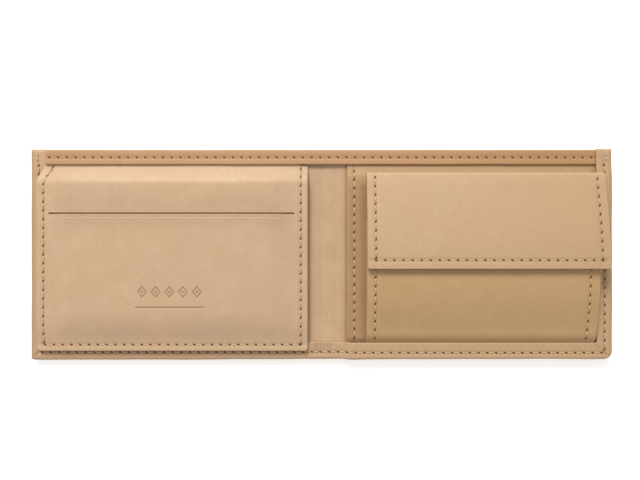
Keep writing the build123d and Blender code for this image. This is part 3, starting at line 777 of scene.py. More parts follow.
side_ys = spread(BOTTOM + LEFT_RADIUS, TOP, 1.1, [(BOTTOM + LEFT_RADIUS, BOTTOM + 9, 0.3)])
corner_runs = [(LEFT + LEFT_RADIUS, LEFT + 8, 0.3), (RIGHT - 8, RIGHT - RIGHT_RADIUS, 0.3)]
bottom_xs = spread(LEFT + LEFT_RADIUS, RIGHT - RIGHT_RADIUS, 1.1, [(-12, 13, 0.4), *corner_runs])
profile, tip_start, tip_end = rim_profile()
stations = edge_stations(side_ys, bottom_xs)
print(len(stations), "stations of", len(profile), "points")

# %% [markdown]
# The furrow that the seam presses, the wobble of a hand-cut edge and the small puckers where the
# turned edge crosses the spine are added to the swept points.

# %% The cover's mesh
PUCKERS = (-2.6, -1.5, -0.5, 0.7, 1.9, 3.1)


def mitre(x, y):
    """1 on the two corner mitres, where the turned edges meet, and 0 away from them."""
    reach = y - BOTTOM
    away = np.minimum(np.abs(x - LEFT - reach), np.abs(RIGHT - x - reach))
    return furrow(away, 0.35) * (reach < BOTTOM_TURN_IN) * soft_step(reach, 0.8, 2.0)


def mark(piece, name, measure):
    """Stores measure(x, y, z), in millimetres, on each point of a piece, for its material."""
    places = np.zeros(len(piece.data.vertices) * 3, np.float32)
    piece.data.vertices.foreach_get("co", places)
    x, y, z = (places.reshape(-1, 3) / MM).T
    stored = piece.data.attributes.new(name, "FLOAT", "POINT")
    stored.data.foreach_set("value", np.asarray(measure(x, y, z), np.float32))


def cover_wear_and_crease_shade(x, y, z):
    """Handling darkens the outer edge of the cover. The mitres are darker lines, and the puckers at the spine
    get painted shade in their folds.
    """
    inset = np.minimum(np.minimum(x - LEFT, RIGHT - x), y - BOTTOM)
    edge = 0.50 * (1 - soft_step(inset, 0.1, 1.9))
    # Painted shade in the folds of the puckers where the turned edge crosses the spine.
    puckered = sum(furrow(x - pucker - 0.1 * inset, 0.5) for pucker in PUCKERS)
    puckered = puckered * (inset < BOTTOM_TURN_IN + 0.2)
    return edge + (z > COVER + 1) * (0.5 * mitre(x, y) + 0.62 * puckered * soft_step(inset, 1.5, 4.5))


points = np.zeros((len(stations), len(profile), 3))
for i, place in enumerate(stations):
    for j, (inset, base, level) in enumerate(profile):
        x, y = place(inset)
        top = rim_level(x, y)
        turned = base == "high" and j >= tip_start
        if turned:
            tip = soft_step(inset, 4.0, TURN_IN_WIDTH)
            level -= 0.16 * furrow(inset - SEAM_INSET, 1.3) + 0.06 * (1 - tip)
            level += 0.05 * unevenness(x, y, 31.0, 0.4) * tip - 0.05
            level -= 0.30 * mitre(x, y)
            if y < BOTTOM + TURN_IN_WIDTH + 1:
                for k, pucker in enumerate(PUCKERS):
                    depth = (0.26 + 0.08 * (k % 2)) * soft_step(inset, 1.0, 4.5)
                    level -= depth * furrow(x - pucker - 0.1 * inset, 0.6)
        if base == "low" and level == 0.0:
            level = 0.22 * furrow(inset - SEAM_INSET, 1.2)
        wobble = 0.07 * (1 + unevenness(x, y, 23.0, 1.7)) * (1 - soft_step(inset, 0.0, 4.0))
        push_x = wobble if x < LEFT + 5 else (-wobble if x > RIGHT - 5 else 0.0)
        narrowing = 0.55 * soft_step(x, -70.0, 70.0) * (1 - soft_step(inset, 0.0, 2.5))
        push_y = (wobble + narrowing) * (1 - soft_step(y, BOTTOM + 1.5, BOTTOM + 7.5))
        points[i, j] = (x + push_x, y + push_y, (top if base == "high" else 0.0) + level)

number = np.arange(points.shape[0] * points.shape[1]).reshape(points.shape[:2])
faces, kinds = [], []
for i in range(len(stations) - 1):
    for j in range(len(profile) - 1):
        faces.append([number[i, j], number[i + 1, j], number[i + 1, j + 1], number[i, j + 1]])
        kinds.append(1 if tip_start <= j < tip_end else 0)
faces += [list(number[0]), list(number[-1][::-1])]
kinds += [1, 1]

plate_xs = np.unique(np.clip(bottom_xs, LEFT + FLAT_INSET, RIGHT - FLAT_INSET))
plate_ys = np.unique(np.clip(side_ys, BOTTOM + deep(FLAT_INSET), TOP))
px, py = plan_grid(plate_xs, plate_ys)
plate = np.stack([np.stack([px, py, np.full(px.shape, level)], axis=2) for level in (COVER, 0.0)])
offset = number.size
plate_number = offset + np.arange(plate[..., 0].size).reshape(plate.shape[:3])
for i in range(len(plate_xs) - 1):
    for j in range(len(plate_ys) - 1):
        for level in (0, 1):
            n = plate_number[level]
            corners = [n[i, j], n[i + 1, j], n[i + 1, j + 1], n[i, j + 1]]
            faces.append(corners if level == 0 else corners[::-1])
            kinds.append(0)
    top, low = plate_number[0][:, -1], plate_number[1][:, -1]
    faces.append([top[i + 1], top[i], low[i], low[i + 1]])
    kinds.append(1)
cover = make_piece(
    "cover", np.concatenate([points.reshape(-1, 3), plate.reshape(-1, 3)]), faces,
    [leathers["cover"], edge_leather], kinds,
)
mark(cover, "press", cover_wear_and_crease_shade)
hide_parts("cover_left", "cover_spine", "cover_right")
print("cover:", len(cover.data.polygons), "faces")

# %% [markdown]
# Everything that crosses the spine goes through this step, which bakes its placement into its points.

# %% Baking the pieces that cross the spine
def bend_over_spine(piece):
    """Bakes the piece's placement into its points; it is not bent across the spine here."""
    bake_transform(piece)


bend_over_spine(cover)
print("spine:", SPINE_LEFT, "to", SPINE_RIGHT, "mm")

# %% [markdown]
# ## The divider and the top band
#
# The divider is the inner wall of the note compartment. A narrow band of leather is folded over its
# top edge and sewn through once. The band also holds down the tab of the card leaf.

# %% The divider
divider_right_edge = box("divider_right")[1][0]
xs = spread(DIVIDER_LOW[0], divider_right_edge, 2.2, [(-12, 13, 0.4)])
ys = spread(DIVIDER_LOW[1], DIVIDER_HIGH[1], 1.8)
x, y = plan_grid(xs, ys)
slack = soft_step(y, BOTTOM + 6, BOTTOM + 12) * soft_step(-y, -31.5, -26)
sag = 0.04 + 0.10 * (1 + unevenness(x, y, 47.0, 2.1)) * slack
sag += 0.12 * furrow(x - 0.4, 1.6) + 0.10 * furrow(x - 5.2, 1.2) + 0.07 * furrow(x + 2.3, 1.0)
divider_grain = np.stack([x, y, DIVIDER_TOP - sag], axis=2)
divider = leaf("divider", divider_grain, 0.9, [leathers["divider"], edge_leather])
# Painted shade along the gap under the coin panel's free left edge.
mark(divider, "press", lambda x, y, z: 0.75 * furrow(x - PANEL_LOW[0] + 0.35, 1.3))
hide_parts("divider_left", "divider_spine", "divider_right")
bend_over_spine(divider)
print("divider:", len(divider.data.polygons), "faces")

# %% The top band
BAND_LOW_Y, BAND_FOLD_Y = BAND_LOW[1], BAND_HIGH[1]
BAND_TOP, BAND_FLOOR = BAND_HIGH[2], BAND_LOW[2]
BAND_BACK = 0.3
round_y, round_z = 0.55, (BAND_TOP - BAND_FLOOR) / 2
loop = [(BAND_LOW_Y, BAND_UNDER + 0.02), (BAND_LOW_Y, BAND_TOP - 0.22), (BAND_LOW_Y + 0.06, BAND_TOP - 0.08)]
loop += [(y, BAND_TOP) for y in np.linspace(BAND_LOW_Y + 0.25, BAND_FOLD_Y - round_y, 16)]
for turn in np.linspace(10, 170, 13) * math.pi / 180:
    y = BAND_FOLD_Y - round_y + round_y * math.sin(turn)
    loop.append((y, BAND_FLOOR + round_z + round_z * math.cos(turn)))
loop += [(BAND_FOLD_Y - round_y - 0.3, BAND_FLOOR), (BAND_LOW_Y, BAND_FLOOR)]
loop += [(y, BAND_FLOOR + BAND_BACK) for y in (BAND_LOW_Y, DIVIDER_HIGH[1])]
loop.append((DIVIDER_HIGH[1], BAND_UNDER + 0.02))
BAND_END = BAND_RIGHT + 0.9
xs = spread(BAND_LOW[0], BAND_END, 1.2, [(-12, 13, 0.4), (BAND_LOW[0], BAND_LOW[0] + 1.2, 0.3)])
points = np.zeros((len(xs), len(loop), 3))
for i, x in enumerate(xs):
    for j, (y, z) in enumerate(loop):
        if z > BAND_UNDER + 0.1:
            ends = 1 - soft_step(x, BAND_LOW[0], BAND_LOW[0] + 0.5)
            ends += 2.2 * soft_step(x, BAND_RIGHT - 0.4, BAND_END)
            z -= 0.16 * furrow(y - BAND_SEAM_Y, 1.3) + 0.12 * ends + 0.03 * (1 + unevenness(x, y, 21.0, 0.9))
        y -= 0.05 * (1 + unevenness(x, 0.0, 27.0, 3.3)) * (1 if y > BAND_FOLD_Y - 1 else -1)
        points[i, j] = (x, y, z)
number = np.arange(len(xs) * len(loop)).reshape(len(xs), len(loop))
faces, kinds = [], []
for i in range(len(xs) - 1):
    for j in range(len(loop)):
        k = (j + 1) % len(loop)
        faces.append([number[i, j], number[i, k], number[i + 1, k], number[i + 1, j]])
        kinds.append(1 if j < 2 else 0)
faces += [list(number[0][::-1]), list(number[-1])]
kinds += [1, 1]
band = make_piece("top_band", points.reshape(-1, 3), faces, [leathers["band"], edge_leather], kinds)
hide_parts("top_band_left", "top_band_spine", "top_band_right")
bend_over_spine(band)
print("top band:", len(band.data.polygons), "faces")

# %% [markdown]
# ## The card leaf
#
# Two sheets are sewn together on three sides. The front sheet has a slot for cards, with a creased
# line along its lip, and swells a little over the card room. Its top runs down into a thin tab that is
# caught under the band, and the leaf turns there. Five small diamonds and a rule are pressed into the
# middle as a plain tooled ornament.

# %% Heights of the card leaf
SLIT_LEFT, SLIT_RIGHT, SLIT_LOW, SLIT_HIGH = LEAF_LOW[0] + 4.3, LEAF_HIGH[0] - 4.7, 14.4, 14.9
TAB_LOW, TAB_HIGH = box("leaf_tab")
LEAF_RADIUS = 1.2
LEAF_DROOP = 0.4
SLANT_FROM, SLANT_DEPTH = 27.0, 2.1
DIAMONDS = [(-52.85 + 4.0 * k, -13.0) for k in (-2.4, -1.2, 0, 1.2, 2.4)]
DIAMOND_WIDTH, DIAMOND_HEIGHT = 3.4, 4.2
RULE_Y, RULE_LEFT, RULE_RIGHT = -18.4, -65.1, -40.6


def leaf_left_edge(y):
    """The left edge slants inwards near the top, so that the leaf can turn past the cover."""
    slanted = SLANT_DEPTH * np.clip((y - SLANT_FROM) / (BAND_LOW[1] - SLANT_FROM), 0, 1)
    tucked = (TAB_LOW[0] - LEAF_LOW[0] - SLANT_DEPTH) * soft_step(y, BAND_LOW[1], BAND_LOW[1] + 1.2)
    return LEAF_LOW[0] + slanted + tucked


def droop(y):
    """How far the lower edge of the leaf sinks on to the rim."""
    return LEAF_DROOP * soft_step(-y, -LEAF_LOW[1] - 9.0, -LEAF_LOW[1] - 2.0)


def leaf_underside(x, y):
    """The level of the seam on the leaf's back."""
    return LEAF_BACK_LOW[2] + 0.1 - droop(y)


def tooling(x, y):
    """How deep the ornament is pressed, from 0 to 1."""
    pressed = np.zeros(np.shape(x))
    for cx, cy in DIAMONDS:
        away = np.abs(x - cx) / (DIAMOND_WIDTH / 2) + np.abs(y - cy) / (DIAMOND_HEIGHT / 2)
        outline = np.exp(-(((away - 0.86) / 0.17) ** 2))
        dot = np.exp(-((away / 0.30) ** 2))
        pressed = np.maximum(pressed, np.maximum(outline, dot))
    on_rule = soft_step(x, RULE_LEFT, RULE_LEFT + 0.6) * soft_step(-x, -RULE_RIGHT, -RULE_RIGHT + 0.6)
    return np.maximum(pressed, on_rule * furrow(y - RULE_Y, 0.5))


def leaf_height(x, y):
    """The level of the leaf's grain side."""
    across = soft_step(x, LEAF_LOW[0] + 2.6, LEAF_LOW[0] + 14)
    across = across * soft_step(-x, -LEAF_HIGH[0] + 2.6, -LEAF_HIGH[0] + 14)
    swell = across * soft_step(y, LEAF_LOW[1] + 2.6, LEAF_LOW[1] + 14)
    level = LEAF_RIM + (LEAF_HIGH[2] - 0.25 - LEAF_RIM) * swell
    in_slit = soft_step(x, SLIT_LEFT - 1, SLIT_LEFT + 7) * soft_step(-x, -SLIT_RIGHT - 1, -SLIT_RIGHT + 7)
    lip = np.where(y < (SLIT_LOW + SLIT_HIGH) / 2, 0.45 * np.exp(-(((SLIT_LOW - y) / 3.0) ** 2)), 0.0)
    back = np.where(y > (SLIT_LOW + SLIT_HIGH) / 2, 0.5 * np.exp(-(((y - SLIT_HIGH) / 4.0) ** 2)), 0.0)
    level = level + in_slit * (lip - back)
    level = level - 0.10 * furrow(y - SLIT_LOW + 1.0, 0.45) * in_slit
    for seam in leaf_rows.values():
        away = (x if seam.along_y else y) - seam.across - seam.lean * np.maximum(y - seam.lean_from, 0.0)
        level = level - 0.14 * furrow(away, 1.3) * soft_step(-y, -31.0, -29.0)
    level = level - 0.24 * tooling(x, y)
    level = level + 0.06 * unevenness(x, y, 37.0, 0.2) * swell - 0.05 - 1.6 * droop(y)
    down = soft_step(y, 25.0, TAB_LOW[1] - 0.1)
    return level * (1 - down) + (TAB_HIGH[2] - 0.03) * down


print(f"card leaf {LEAF_HIGH[0] - LEAF_LOW[0]:.1f} mm wide, its top {LEAF_HIGH[2]:.1f} mm high")

# %% The two sheets of the card leaf
LEAF_FRONT, LEAF_SKIVED = 0.9, 0.55
fine_xs = [(DIAMONDS[0][0] - 3, DIAMONDS[-1][0] + 3, 0.22), (LEAF_LOW[0], LEAF_LOW[0] + 4.5, 0.35),
           (LEAF_HIGH[0] - 4.5, LEAF_HIGH[0], 0.35), (SLIT_LEFT - 0.3, SLIT_LEFT + 0.3, 0.1),
           (SLIT_RIGHT - 0.3, SLIT_RIGHT + 0.3, 0.1)]
fine_ys = [(RULE_Y - 0.8, DIAMONDS[0][1] + 2.6, 0.2), (LEAF_LOW[1], LEAF_LOW[1] + 4.5, 0.35),
           (SLIT_LOW - 2.0, SLIT_LOW, 0.15), (SLIT_LOW, SLIT_HIGH, 0.5), (SLIT_HIGH, SLIT_HIGH + 0.6, 0.3),
           (25.5, TAB_LOW[1] + 0.8, 0.35)]
xs = spread(LEAF_LOW[0], LEAF_HIGH[0], 1.3, fine_xs)
ys = spread(LEAF_LOW[1], TAB_HIGH[1], 1.3, fine_ys)
x, y = plan_grid(xs, ys)
middle_x, middle_y = (xs[1:] + xs[:-1]) / 2, (ys[1:] + ys[:-1]) / 2
mx, my = plan_grid(middle_x, middle_y)
slit = (mx > SLIT_LEFT) & (mx < SLIT_RIGHT) & (my > SLIT_LOW) & (my < SLIT_HIGH)
edge = leaf_left_edge(y)
right_edge = LEAF_HIGH[0] - (LEAF_HIGH[0] - TAB_HIGH[0]) * soft_step(y, TAB_LOW[1] - 0.6, TAB_LOW[1])
slanted = edge + (x - LEAF_LOW[0]) * (right_edge - edge) / (LEAF_HIGH[0] - LEAF_LOW[0])
cut_x, cut_y = round_lower_corners(slanted, y, LEAF_LOW, LEAF_HIGH, LEAF_RADIUS)
front_grain = np.stack([cut_x, cut_y, leaf_height(cut_x, cut_y)], axis=2)
thickness = LEAF_FRONT - (LEAF_FRONT - LEAF_SKIVED) * soft_step(y, 24.5, TAB_LOW[1] - 1) - 0.6 * droop(y)
leaf_front = leaf("leaf_front", front_grain, thickness, [leathers["leaf"], edge_leather], slit)
mark(leaf_front, "press", lambda x, y, z: tooling(x, y) * (z > LEAF_RIM + 0.55))
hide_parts("leaf_front", "leaf_tab")

BACK_TOP = 26.0
back_xs = spread(LEAF_LOW[0], LEAF_HIGH[0], 2.2, fine_xs[1:3])
x, y = plan_grid(back_xs, spread(LEAF_LOW[1], BACK_TOP, 1.8, fine_ys[1:2]))
left_edge = leaf_left_edge(y)
slanted = left_edge + (x - LEAF_LOW[0]) * (LEAF_HIGH[0] - left_edge) / (LEAF_HIGH[0] - LEAF_LOW[0])
back_x, back_y = round_lower_corners(slanted, y, LEAF_LOW, LEAF_HIGH, LEAF_RADIUS)
back_level = LEAF_BACK_HIGH[2] - 0.02 - 0.06 * (1 + unevenness(back_x, back_y, 43.0, 0.8)) - droop(back_y)
back_grain = np.stack([back_x, back_y, back_level], axis=2)
leaf_back = leaf("leaf_back", back_grain, 0.78, [leathers["leaf"], edge_leather])
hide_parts("leaf_back")
for sheet in (leaf_front, leaf_back):
    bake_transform(sheet)
print("card leaf:", len(leaf_front.data.polygons), "+", len(leaf_back.data.polygons), "faces")

# %% [markdown]
# ## The coin panel and its gussets
#
# The coin pocket stands on a panel of its own. Its left edge is free down to the seam, so that a card
# can slide under it. At both sides of the pocket a narrow strip is folded to a Z: one leg is sewn to
# the panel and the other to the pocket's front, so the pocket can open.

# %% The coin panel
PANEL_FIELD = PANEL_HIGH[2]
BORDER_LEVEL = HEM_LOW[2]
RIM_TIP_RIGHT = RIGHT - TURN_IN_WIDTH
RIM_TIP_BOTTOM = HEM_HIGH[1]
xs = spread(PANEL_LOW[0], PANEL_HIGH[0], 1.6, [(PANEL_LOW[0], 15.0, 0.35), (93.5, 99.0, 0.5)])
ys = spread(PANEL_LOW[1], PANEL_HIGH[1], 1.4, [(-33.0, -28.0, 0.5), (26.5, 33.5, 0.5)])
x, y = plan_grid(xs, ys)
level = PANEL_FIELD - 0.04 - 0.05 * (1 + unevenness(x, y, 29.0, 1.2))
to_right = soft_step(x, RIM_TIP_RIGHT - 2.2, RIM_TIP_RIGHT - 0.3)
to_border = np.maximum(to_right, soft_step(-y, -RIM_TIP_BOTTOM - 1.8, -RIM_TIP_BOTTOM - 0.1))
level = level + (BORDER_LEVEL - 0.03 - level) * to_border
under_band = soft_step(y, 27.0, BAND_LOW_Y - 0.2)
level = level + (BAND_UNDER - 0.05 - level) * under_band
level = level - 0.12 * furrow(x - panel_rows["edge"].across, 1.3)
panel_grain = np.stack([x, y, level], axis=2)
thickness = 0.9 - 0.35 * under_band
coin_panel = leaf("coin_panel", panel_grain, thickness, [leathers["panel"], edge_leather])
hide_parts("coin_back_panel")
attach(coin_panel, "right_half")
print("coin panel:", len(coin_panel.data.polygons), "faces")

# %% The pocket's front, with its hem
FRONT_CURVE = [
    (-36.6, 3.97), (-31.35, 3.97), (-30.7, 4.25), (-29.6, 5.25), (-25, 6.7),
    (-20, 7.95), (-10, 9.3), (-4, 9.45), (4, 9.0), (12, 7.85),
]


def along_curve(curve, y):
    """A smooth height through the curve's points."""
    at = np.array([p[0] for p in curve])
    heights = np.array([p[1] for p in curve])
    slopes = np.gradient(heights, at)
    i = np.clip(np.searchsorted(at, y) - 1, 0, len(at) - 2)
    width = at[i + 1] - at[i]
    t = np.clip((y - at[i]) / width, 0, 1)
    first = heights[i] * (1 + 2 * t) * (1 - t) ** 2 + slopes[i] * width * t * (1 - t) ** 2
    return first + heights[i + 1] * t * t * (3 - 2 * t) + slopes[i + 1] * width * t * t * (t - 1)


def front_height(x, y):
    """The level of the pocket front's grain side."""
    level = along_curve(FRONT_CURVE, y)
    lift = soft_step(y, -30, -20)
    side = np.minimum(x - FRONT_LOW[0], FRONT_HIGH[0] - x)
    level = level - 0.30 * lift * (1 - soft_step(side, 0.0, 5.0))
    for seam in pocket_rows.values():
        level = level - 0.14 * furrow(x - seam.across, 1.3) * soft_step(y, -30, -27)
    return level + lift * (0.07 * unevenness(x, y, 41.0, 2.7) - 0.08)


MOUTH_Y = FRONT_HIGH[1]
xs = spread(FRONT_LOW[0], FRONT_HIGH[0], 1.5, fine_ends(FRONT_LOW[0], FRONT_HIGH[0], 5, 0.4))
ys = spread(HEM_LOW[1], MOUTH_Y, 1.1, [(-32, -27, 0.3), (MOUTH_Y - 1.2, MOUTH_Y, 0.4)])
x, y = plan_grid(xs, ys)
front_grain = np.stack([x, y, front_height(x, y)], axis=2)
coin_front = leaf("coin_front", front_grain, 0.8, [leathers["pocket"], edge_leather])
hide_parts("coin_front_panel", "coin_front_hem")
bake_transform(coin_front)
print("pocket front:", len(coin_front.data.polygons), "faces")

# %% The gussets
GUSSET = 0.55
GUSSET_TOP = box("gusset_left")[1][1]


def gusset(name, outer_x, web_x, inner_x):
    """A folded strip: a leg on the panel, a web that stands up, and a leg under the pocket's front."""
    low, high = box(name)
    side = 1 if inner_x > web_x else -1
    ys = spread(HEM_HIGH[1] + 0.1, high[1], 0.9, [(HEM_HIGH[1], -27.5, 0.4), (9.0, 16.0, 0.5)])
    grain = []
    for y in ys:
        sunk = soft_step(-y, -HEM_HIGH[1] - 1.8, -HEM_HIGH[1] - 0.1)
        floor_level = PANEL_FIELD + GUSSET + 0.03 + (BORDER_LEVEL - PANEL_FIELD) * sunk
        roof = float(along_curve(FRONT_CURVE, np.array(y))) - 0.8 - 0.28
        open_share = 1 - soft_step(y, MOUTH_Y - 1.0, MOUTH_Y + 9.0)
        roof = floor_level + max(roof - floor_level, 0.0) * open_share
        leg = 0.4 + (abs(inner_x - web_x) - 0.4) * (1 - soft_step(y, MOUTH_Y - 3.0, MOUTH_Y + 1.0))
        tall = max(roof - floor_level, 0.02)
        across = [(outer_x + (web_x - outer_x) * share, floor_level) for share in np.linspace(0, 0.86, 12)]
        turn_in = min(0.5, tall / 2)
        start = web_x - side * turn_in
        for turn in np.linspace(0.15, 1, 5) * math.pi / 2:
            rise = turn_in * (1 - math.cos(turn))
            across.append((start + side * turn_in * math.sin(turn), floor_level + rise))
        for turn in np.linspace(0.1, 1, 5) * math.pi / 2:
            shift = side * turn_in * (1 - math.cos(turn))
            across.append((web_x + shift, roof - turn_in + turn_in * math.sin(turn)))
        end = web_x + side * turn_in
        across += [(end + (web_x + side * leg - end) * share, roof) for share in (0.35, 0.7, 1.0)]
        press_down = 0.08 * furrow(np.array([p[0] for p in across]) - panel_rows["edge"].across, 1.2)
        grain.append([(px, y, pz - d) for (px, pz), d in zip(across, press_down)])
    grid = np.array(grain).transpose(1, 0, 2)[::side]
    made = leaf(name, grid, GUSSET - 0.05, [leathers["gusset"], edge_leather], edge_radius=0.1)
    # Painted shade, darkest at the standing web, in the fold beside the flap.
    mark(made, "press", lambda x, y, z: 0.55 * (1 - soft_step(abs(x - web_x), 0.2, 3.4)))
    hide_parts(name)
    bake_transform(made)
    return made


for name, outer_x, web_x, inner_x in (
    ("gusset_left", 10.3, FRONT_LOW[0] + 0.35, POCKET_SEAM_LOW[0] + 2.3),
    ("gusset_right", 97.0, FRONT_HIGH[0] - 0.35, POCKET_SEAM_HIGH[0] - 2.3),
):
    made = gusset(name, outer_x, web_x, inner_x)
    print(name, len(made.data.polygons), "faces, box", [round(v, 4) for v in made.bound_box[0]])

# %% [markdown]
# ## The coin flap
#
# The flap is one sheet: its root is sewn to the coin panel, it turns over at the top and hangs down
# over the pocket's mouth. A thinner lining is sewn to its inside.

# %% The flap
FLAP_CURVE = [(FLAP_LOW[1], FLAP_HIGH[2] - 0.02), (3.9, 10.88), (12.0, 9.83)]
FLAP_CURVE += [(20.5, 8.38), (25.0, 7.45), (28.1, 6.68)]
BEND = [(28.62, 6.42), (28.90, 5.98), (28.93, 5.50), (28.70, 5.06)]
BEND += [(28.25, 4.72), (27.6, 4.45), (26.8, 4.28), (25.8, 4.24)]


def flap_height(x, y):
    """The level of the flap's grain side."""
    level = along_curve(FLAP_CURVE, y)
    hanging = soft_step(-y, -27.0, -20.0)
    side = np.minimum(x - FLAP_LOW[0], FLAP_HIGH[0] - x)
    level = level - 0.22 * hanging * (1 - soft_step(side, 0.0, 7.0))
    for seam in flap_rows.values():
        away = (x if seam.along_y else y) - seam.across
        level = level - 0.15 * furrow(away, 1.3) * soft_step(-y, -27.5, -25.5)
    return level + hanging * (0.08 * unevenness(x, y, 53.0, 1.9) - 0.09)


FLAP_RADIUS = 0.7
xs = spread(FLAP_LOW[0], FLAP_HIGH[0], 1.4, fine_ends(FLAP_LOW[0], FLAP_HIGH[0], 5, 0.35))
ys = spread(FLAP_LOW[1], 28.1, 1.2, [(FLAP_LOW[1], FLAP_LOW[1] + 5, 0.35), (24.5, 28.1, 0.45)])
x, y = plan_grid(xs, ys)
cut_x, cut_y = round_lower_corners(x, y, FLAP_LOW, FLAP_HIGH, FLAP_RADIUS)
hanging_part = np.stack([cut_x, cut_y, flap_height(cut_x, cut_y)], axis=2)
turned = [[(x, y, z) for y, z in BEND] for x in xs]
narrow = (ROOT_HIGH[0] + 0.3 - FLAP_LOW[0] - 1) / (FLAP_HIGH[0] - FLAP_LOW[0])
root_xs = FLAP_LOW[0] + 1 + (xs - FLAP_LOW[0]) * narrow
root_ys = (24.6, 22.0, 19.5, ROOT_LOW[1])
root = [[(x, y, ROOT_LOW[2] + 0.03) for y in root_ys] for x in root_xs]
flap_grain = np.concatenate([hanging_part, np.array(turned), np.array(root)], axis=1)
flap_thickness = np.full(flap_grain.shape[:2], 0.8)
flap_thickness[:, -9:] = 0.6
flap = leaf("flap", flap_grain, flap_thickness, [leathers["flap"], edge_leather])
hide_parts("flap_outer", "flap_root")
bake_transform(flap)
print("flap:", len(flap.data.polygons), "faces")

# %% The flap's lining
SOCKET_LOW, SOCKET_HIGH = box("snap_socket")
STUD_LOW, STUD_HIGH = box("snap_stud")
STUD_X = (STUD_LOW[0] + STUD_HIGH[0]) / 2
STUD_Y = (STUD_LOW[1] + STUD_HIGH[1]) / 2
SOCKET_RADIUS = (SOCKET_HIGH[0] - SOCKET_LOW[0]) / 2
inside_ys = spread(FLAP_LOW[1] + 0.05, LINING_TOP, 1.3, [(STUD_Y - 6.5, STUD_Y + 6.5, 0.5)])
inside_fine = [(STUD_X - 6.5, STUD_X + 6.5, 0.5)] + fine_ends(FLAP_LOW[0], FLAP_HIGH[0], 2, 0.4)
inside_xs = spread(FLAP_LOW[0] + 0.08, FLAP_HIGH[0] - 0.08, 1.5, inside_fine)
x, y = plan_grid(inside_xs, inside_ys)
cut_x, cut_y = round_lower_corners(x, y, FLAP_LOW, FLAP_HIGH, FLAP_RADIUS)
from_socket = np.hypot(cut_x - STUD_X, cut_y - STUD_Y)
seat = 0.30 * (1 - soft_step(from_socket, SOCKET_RADIUS - 0.4, SOCKET_RADIUS + 0.9))
lining_grain = np.stack([cut_x, cut_y, flap_height(cut_x, cut_y) - 0.83 + seat], axis=2)
lining = leaf("flap_lining", lining_grain, 0.58, [leathers["lining"], edge_leather])
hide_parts("flap_lining")
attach(lining, "coin_flap")
print("lining:", len(lining.data.polygons), "faces")

# %% [markdown]
# ## The press stud
#
# The two halves of the stud are turned shapes. A profile of radii and heights is spun round the axis,
# then tilted to lie on the leather. Old brass with fine scratches is a metal with a worn roughness.

# %% The press stud
def brass():
    """Antique brass, polished by use."""
    material, tree, shader = new_material("brass")
    scratches = noise(tree, rest_place(tree), 3.0, 8.0, 0.75)
    dirt = ramp(tree, pointiness(tree), 0.44, 0.50, 0.55, 0.0)
    wire(tree, shader["Base Color"], mix_colour(tree, dirt, (0.62, 0.44, 0.22), (0.12, 0.08, 0.04)))
    wire(tree, shader["Roughness"], ramp(tree, scratches, 0.35, 0.7, 0.24, 0.42))
    shader["Metallic"].default_value = 1.0
    return material


metal = brass()


def turned_piece(name, profile, centre, tilt, node, body):
    """A closed profile of (radius, height) spun round an axis that leans by tilt degrees about X."""
    around = 64
    lean = math.radians(tilt)
    points = []
    for k in range(around):
        angle = 2 * math.pi * k / around
        for radius, height in profile:
            x, y = radius * math.cos(angle), radius * math.sin(angle)
            points.append((centre[0] + x, centre[1] + y * math.cos(lean) - height * math.sin(lean),
                           centre[2] + y * math.sin(lean) + height * math.cos(lean)))
    count = len(profile)
    faces = []
    for k in range(around):
        for j in range(count - 1):
            m = (k + 1) % around
            faces.append([k * count + j, m * count + j, m * count + j + 1, k * count + j + 1])
    made = make_piece(name, points, faces, [metal])
    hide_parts(node)
    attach(made, body)
    return made


STUD_TILT = -4.0
stud_profile = [
    (0, -0.9), (3.4, -0.9), (3.6, -0.72), (3.6, 0.02), (3.35, 0.14), (2.9, 0.16), (2.5, 0.06), (2.1, 0.05),
    (1.62, 0.10), (1.32, 0.22), (1.25, 0.36), (1.42, 0.48), (1.50, 0.60), (1.42, 0.74), (1.15, 0.84),
    (0, 0.86),
]
stud_level = float(front_height(np.array(STUD_X), np.array(STUD_Y)))
socket_profile = [
    (2.1, -0.10), (2.1, -0.42), (2.3, -0.52), (2.65, -0.56), (3.0, -0.50), (3.4, -0.40), (4.1, -0.38),
    (4.6, -0.42), (5.0, -0.40), (5.2, -0.28), (5.2, -0.05), (4.9, 0.06), (2.4, 0.06), (2.1, -0.10),
]
socket_level = float(flap_height(np.array(STUD_X), np.array(STUD_Y))) - 1.08
stud_place, socket_place = (STUD_X, STUD_Y, stud_level), (STUD_X, STUD_Y, socket_level)
turned_piece("stud", stud_profile, stud_place, STUD_TILT, "snap_stud", "coin_front")
turned_piece("socket", socket_profile, socket_place, STUD_TILT - 2.0, "snap_socket", "coin_flap")
print("stud level", round(stud_level, 2), "socket level", round(socket_level, 2))

# %% [markdown]
# ## The thread
#
# Each stitch is a short tube that rises out of one hole, lies on the leather and dives into the next.
# Its section is two round plies that turn about each other, which is how twisted thread is made. All
# stitches of one seam are one mesh.

# %% Thread and its material
def waxed_thread(name, dark, light):
    """Waxed linen thread, with painted shade between the plies."""
    material, tree, shader = new_material(name)
    fuzz = ramp(tree, noise(tree, rest_place(tree), 6.0, 4.0), 0.3, 0.7, 0.6, 1.0)
    share = calc(tree, "MULTIPLY", stored(tree, "ply"), fuzz)
    wire(tree, shader["Base Color"], mix_colour(tree, share, dark, light))
    shader["Roughness"].default_value = 0.55
    shader["Sheen Weight"].default_value = 0.15
    return material


seam_thread = waxed_thread("thread", display(184, 148, 111), display(208, 175, 138))
band_cord = waxed_thread("band_thread", display(170, 132, 96), display(192, 154, 117))
tack_thread = waxed_thread("tack_thread", display(170, 148, 120), display(224, 211, 192))
THREAD_SIDES = 10
DIVE = 0.18
SUNK = 0.11


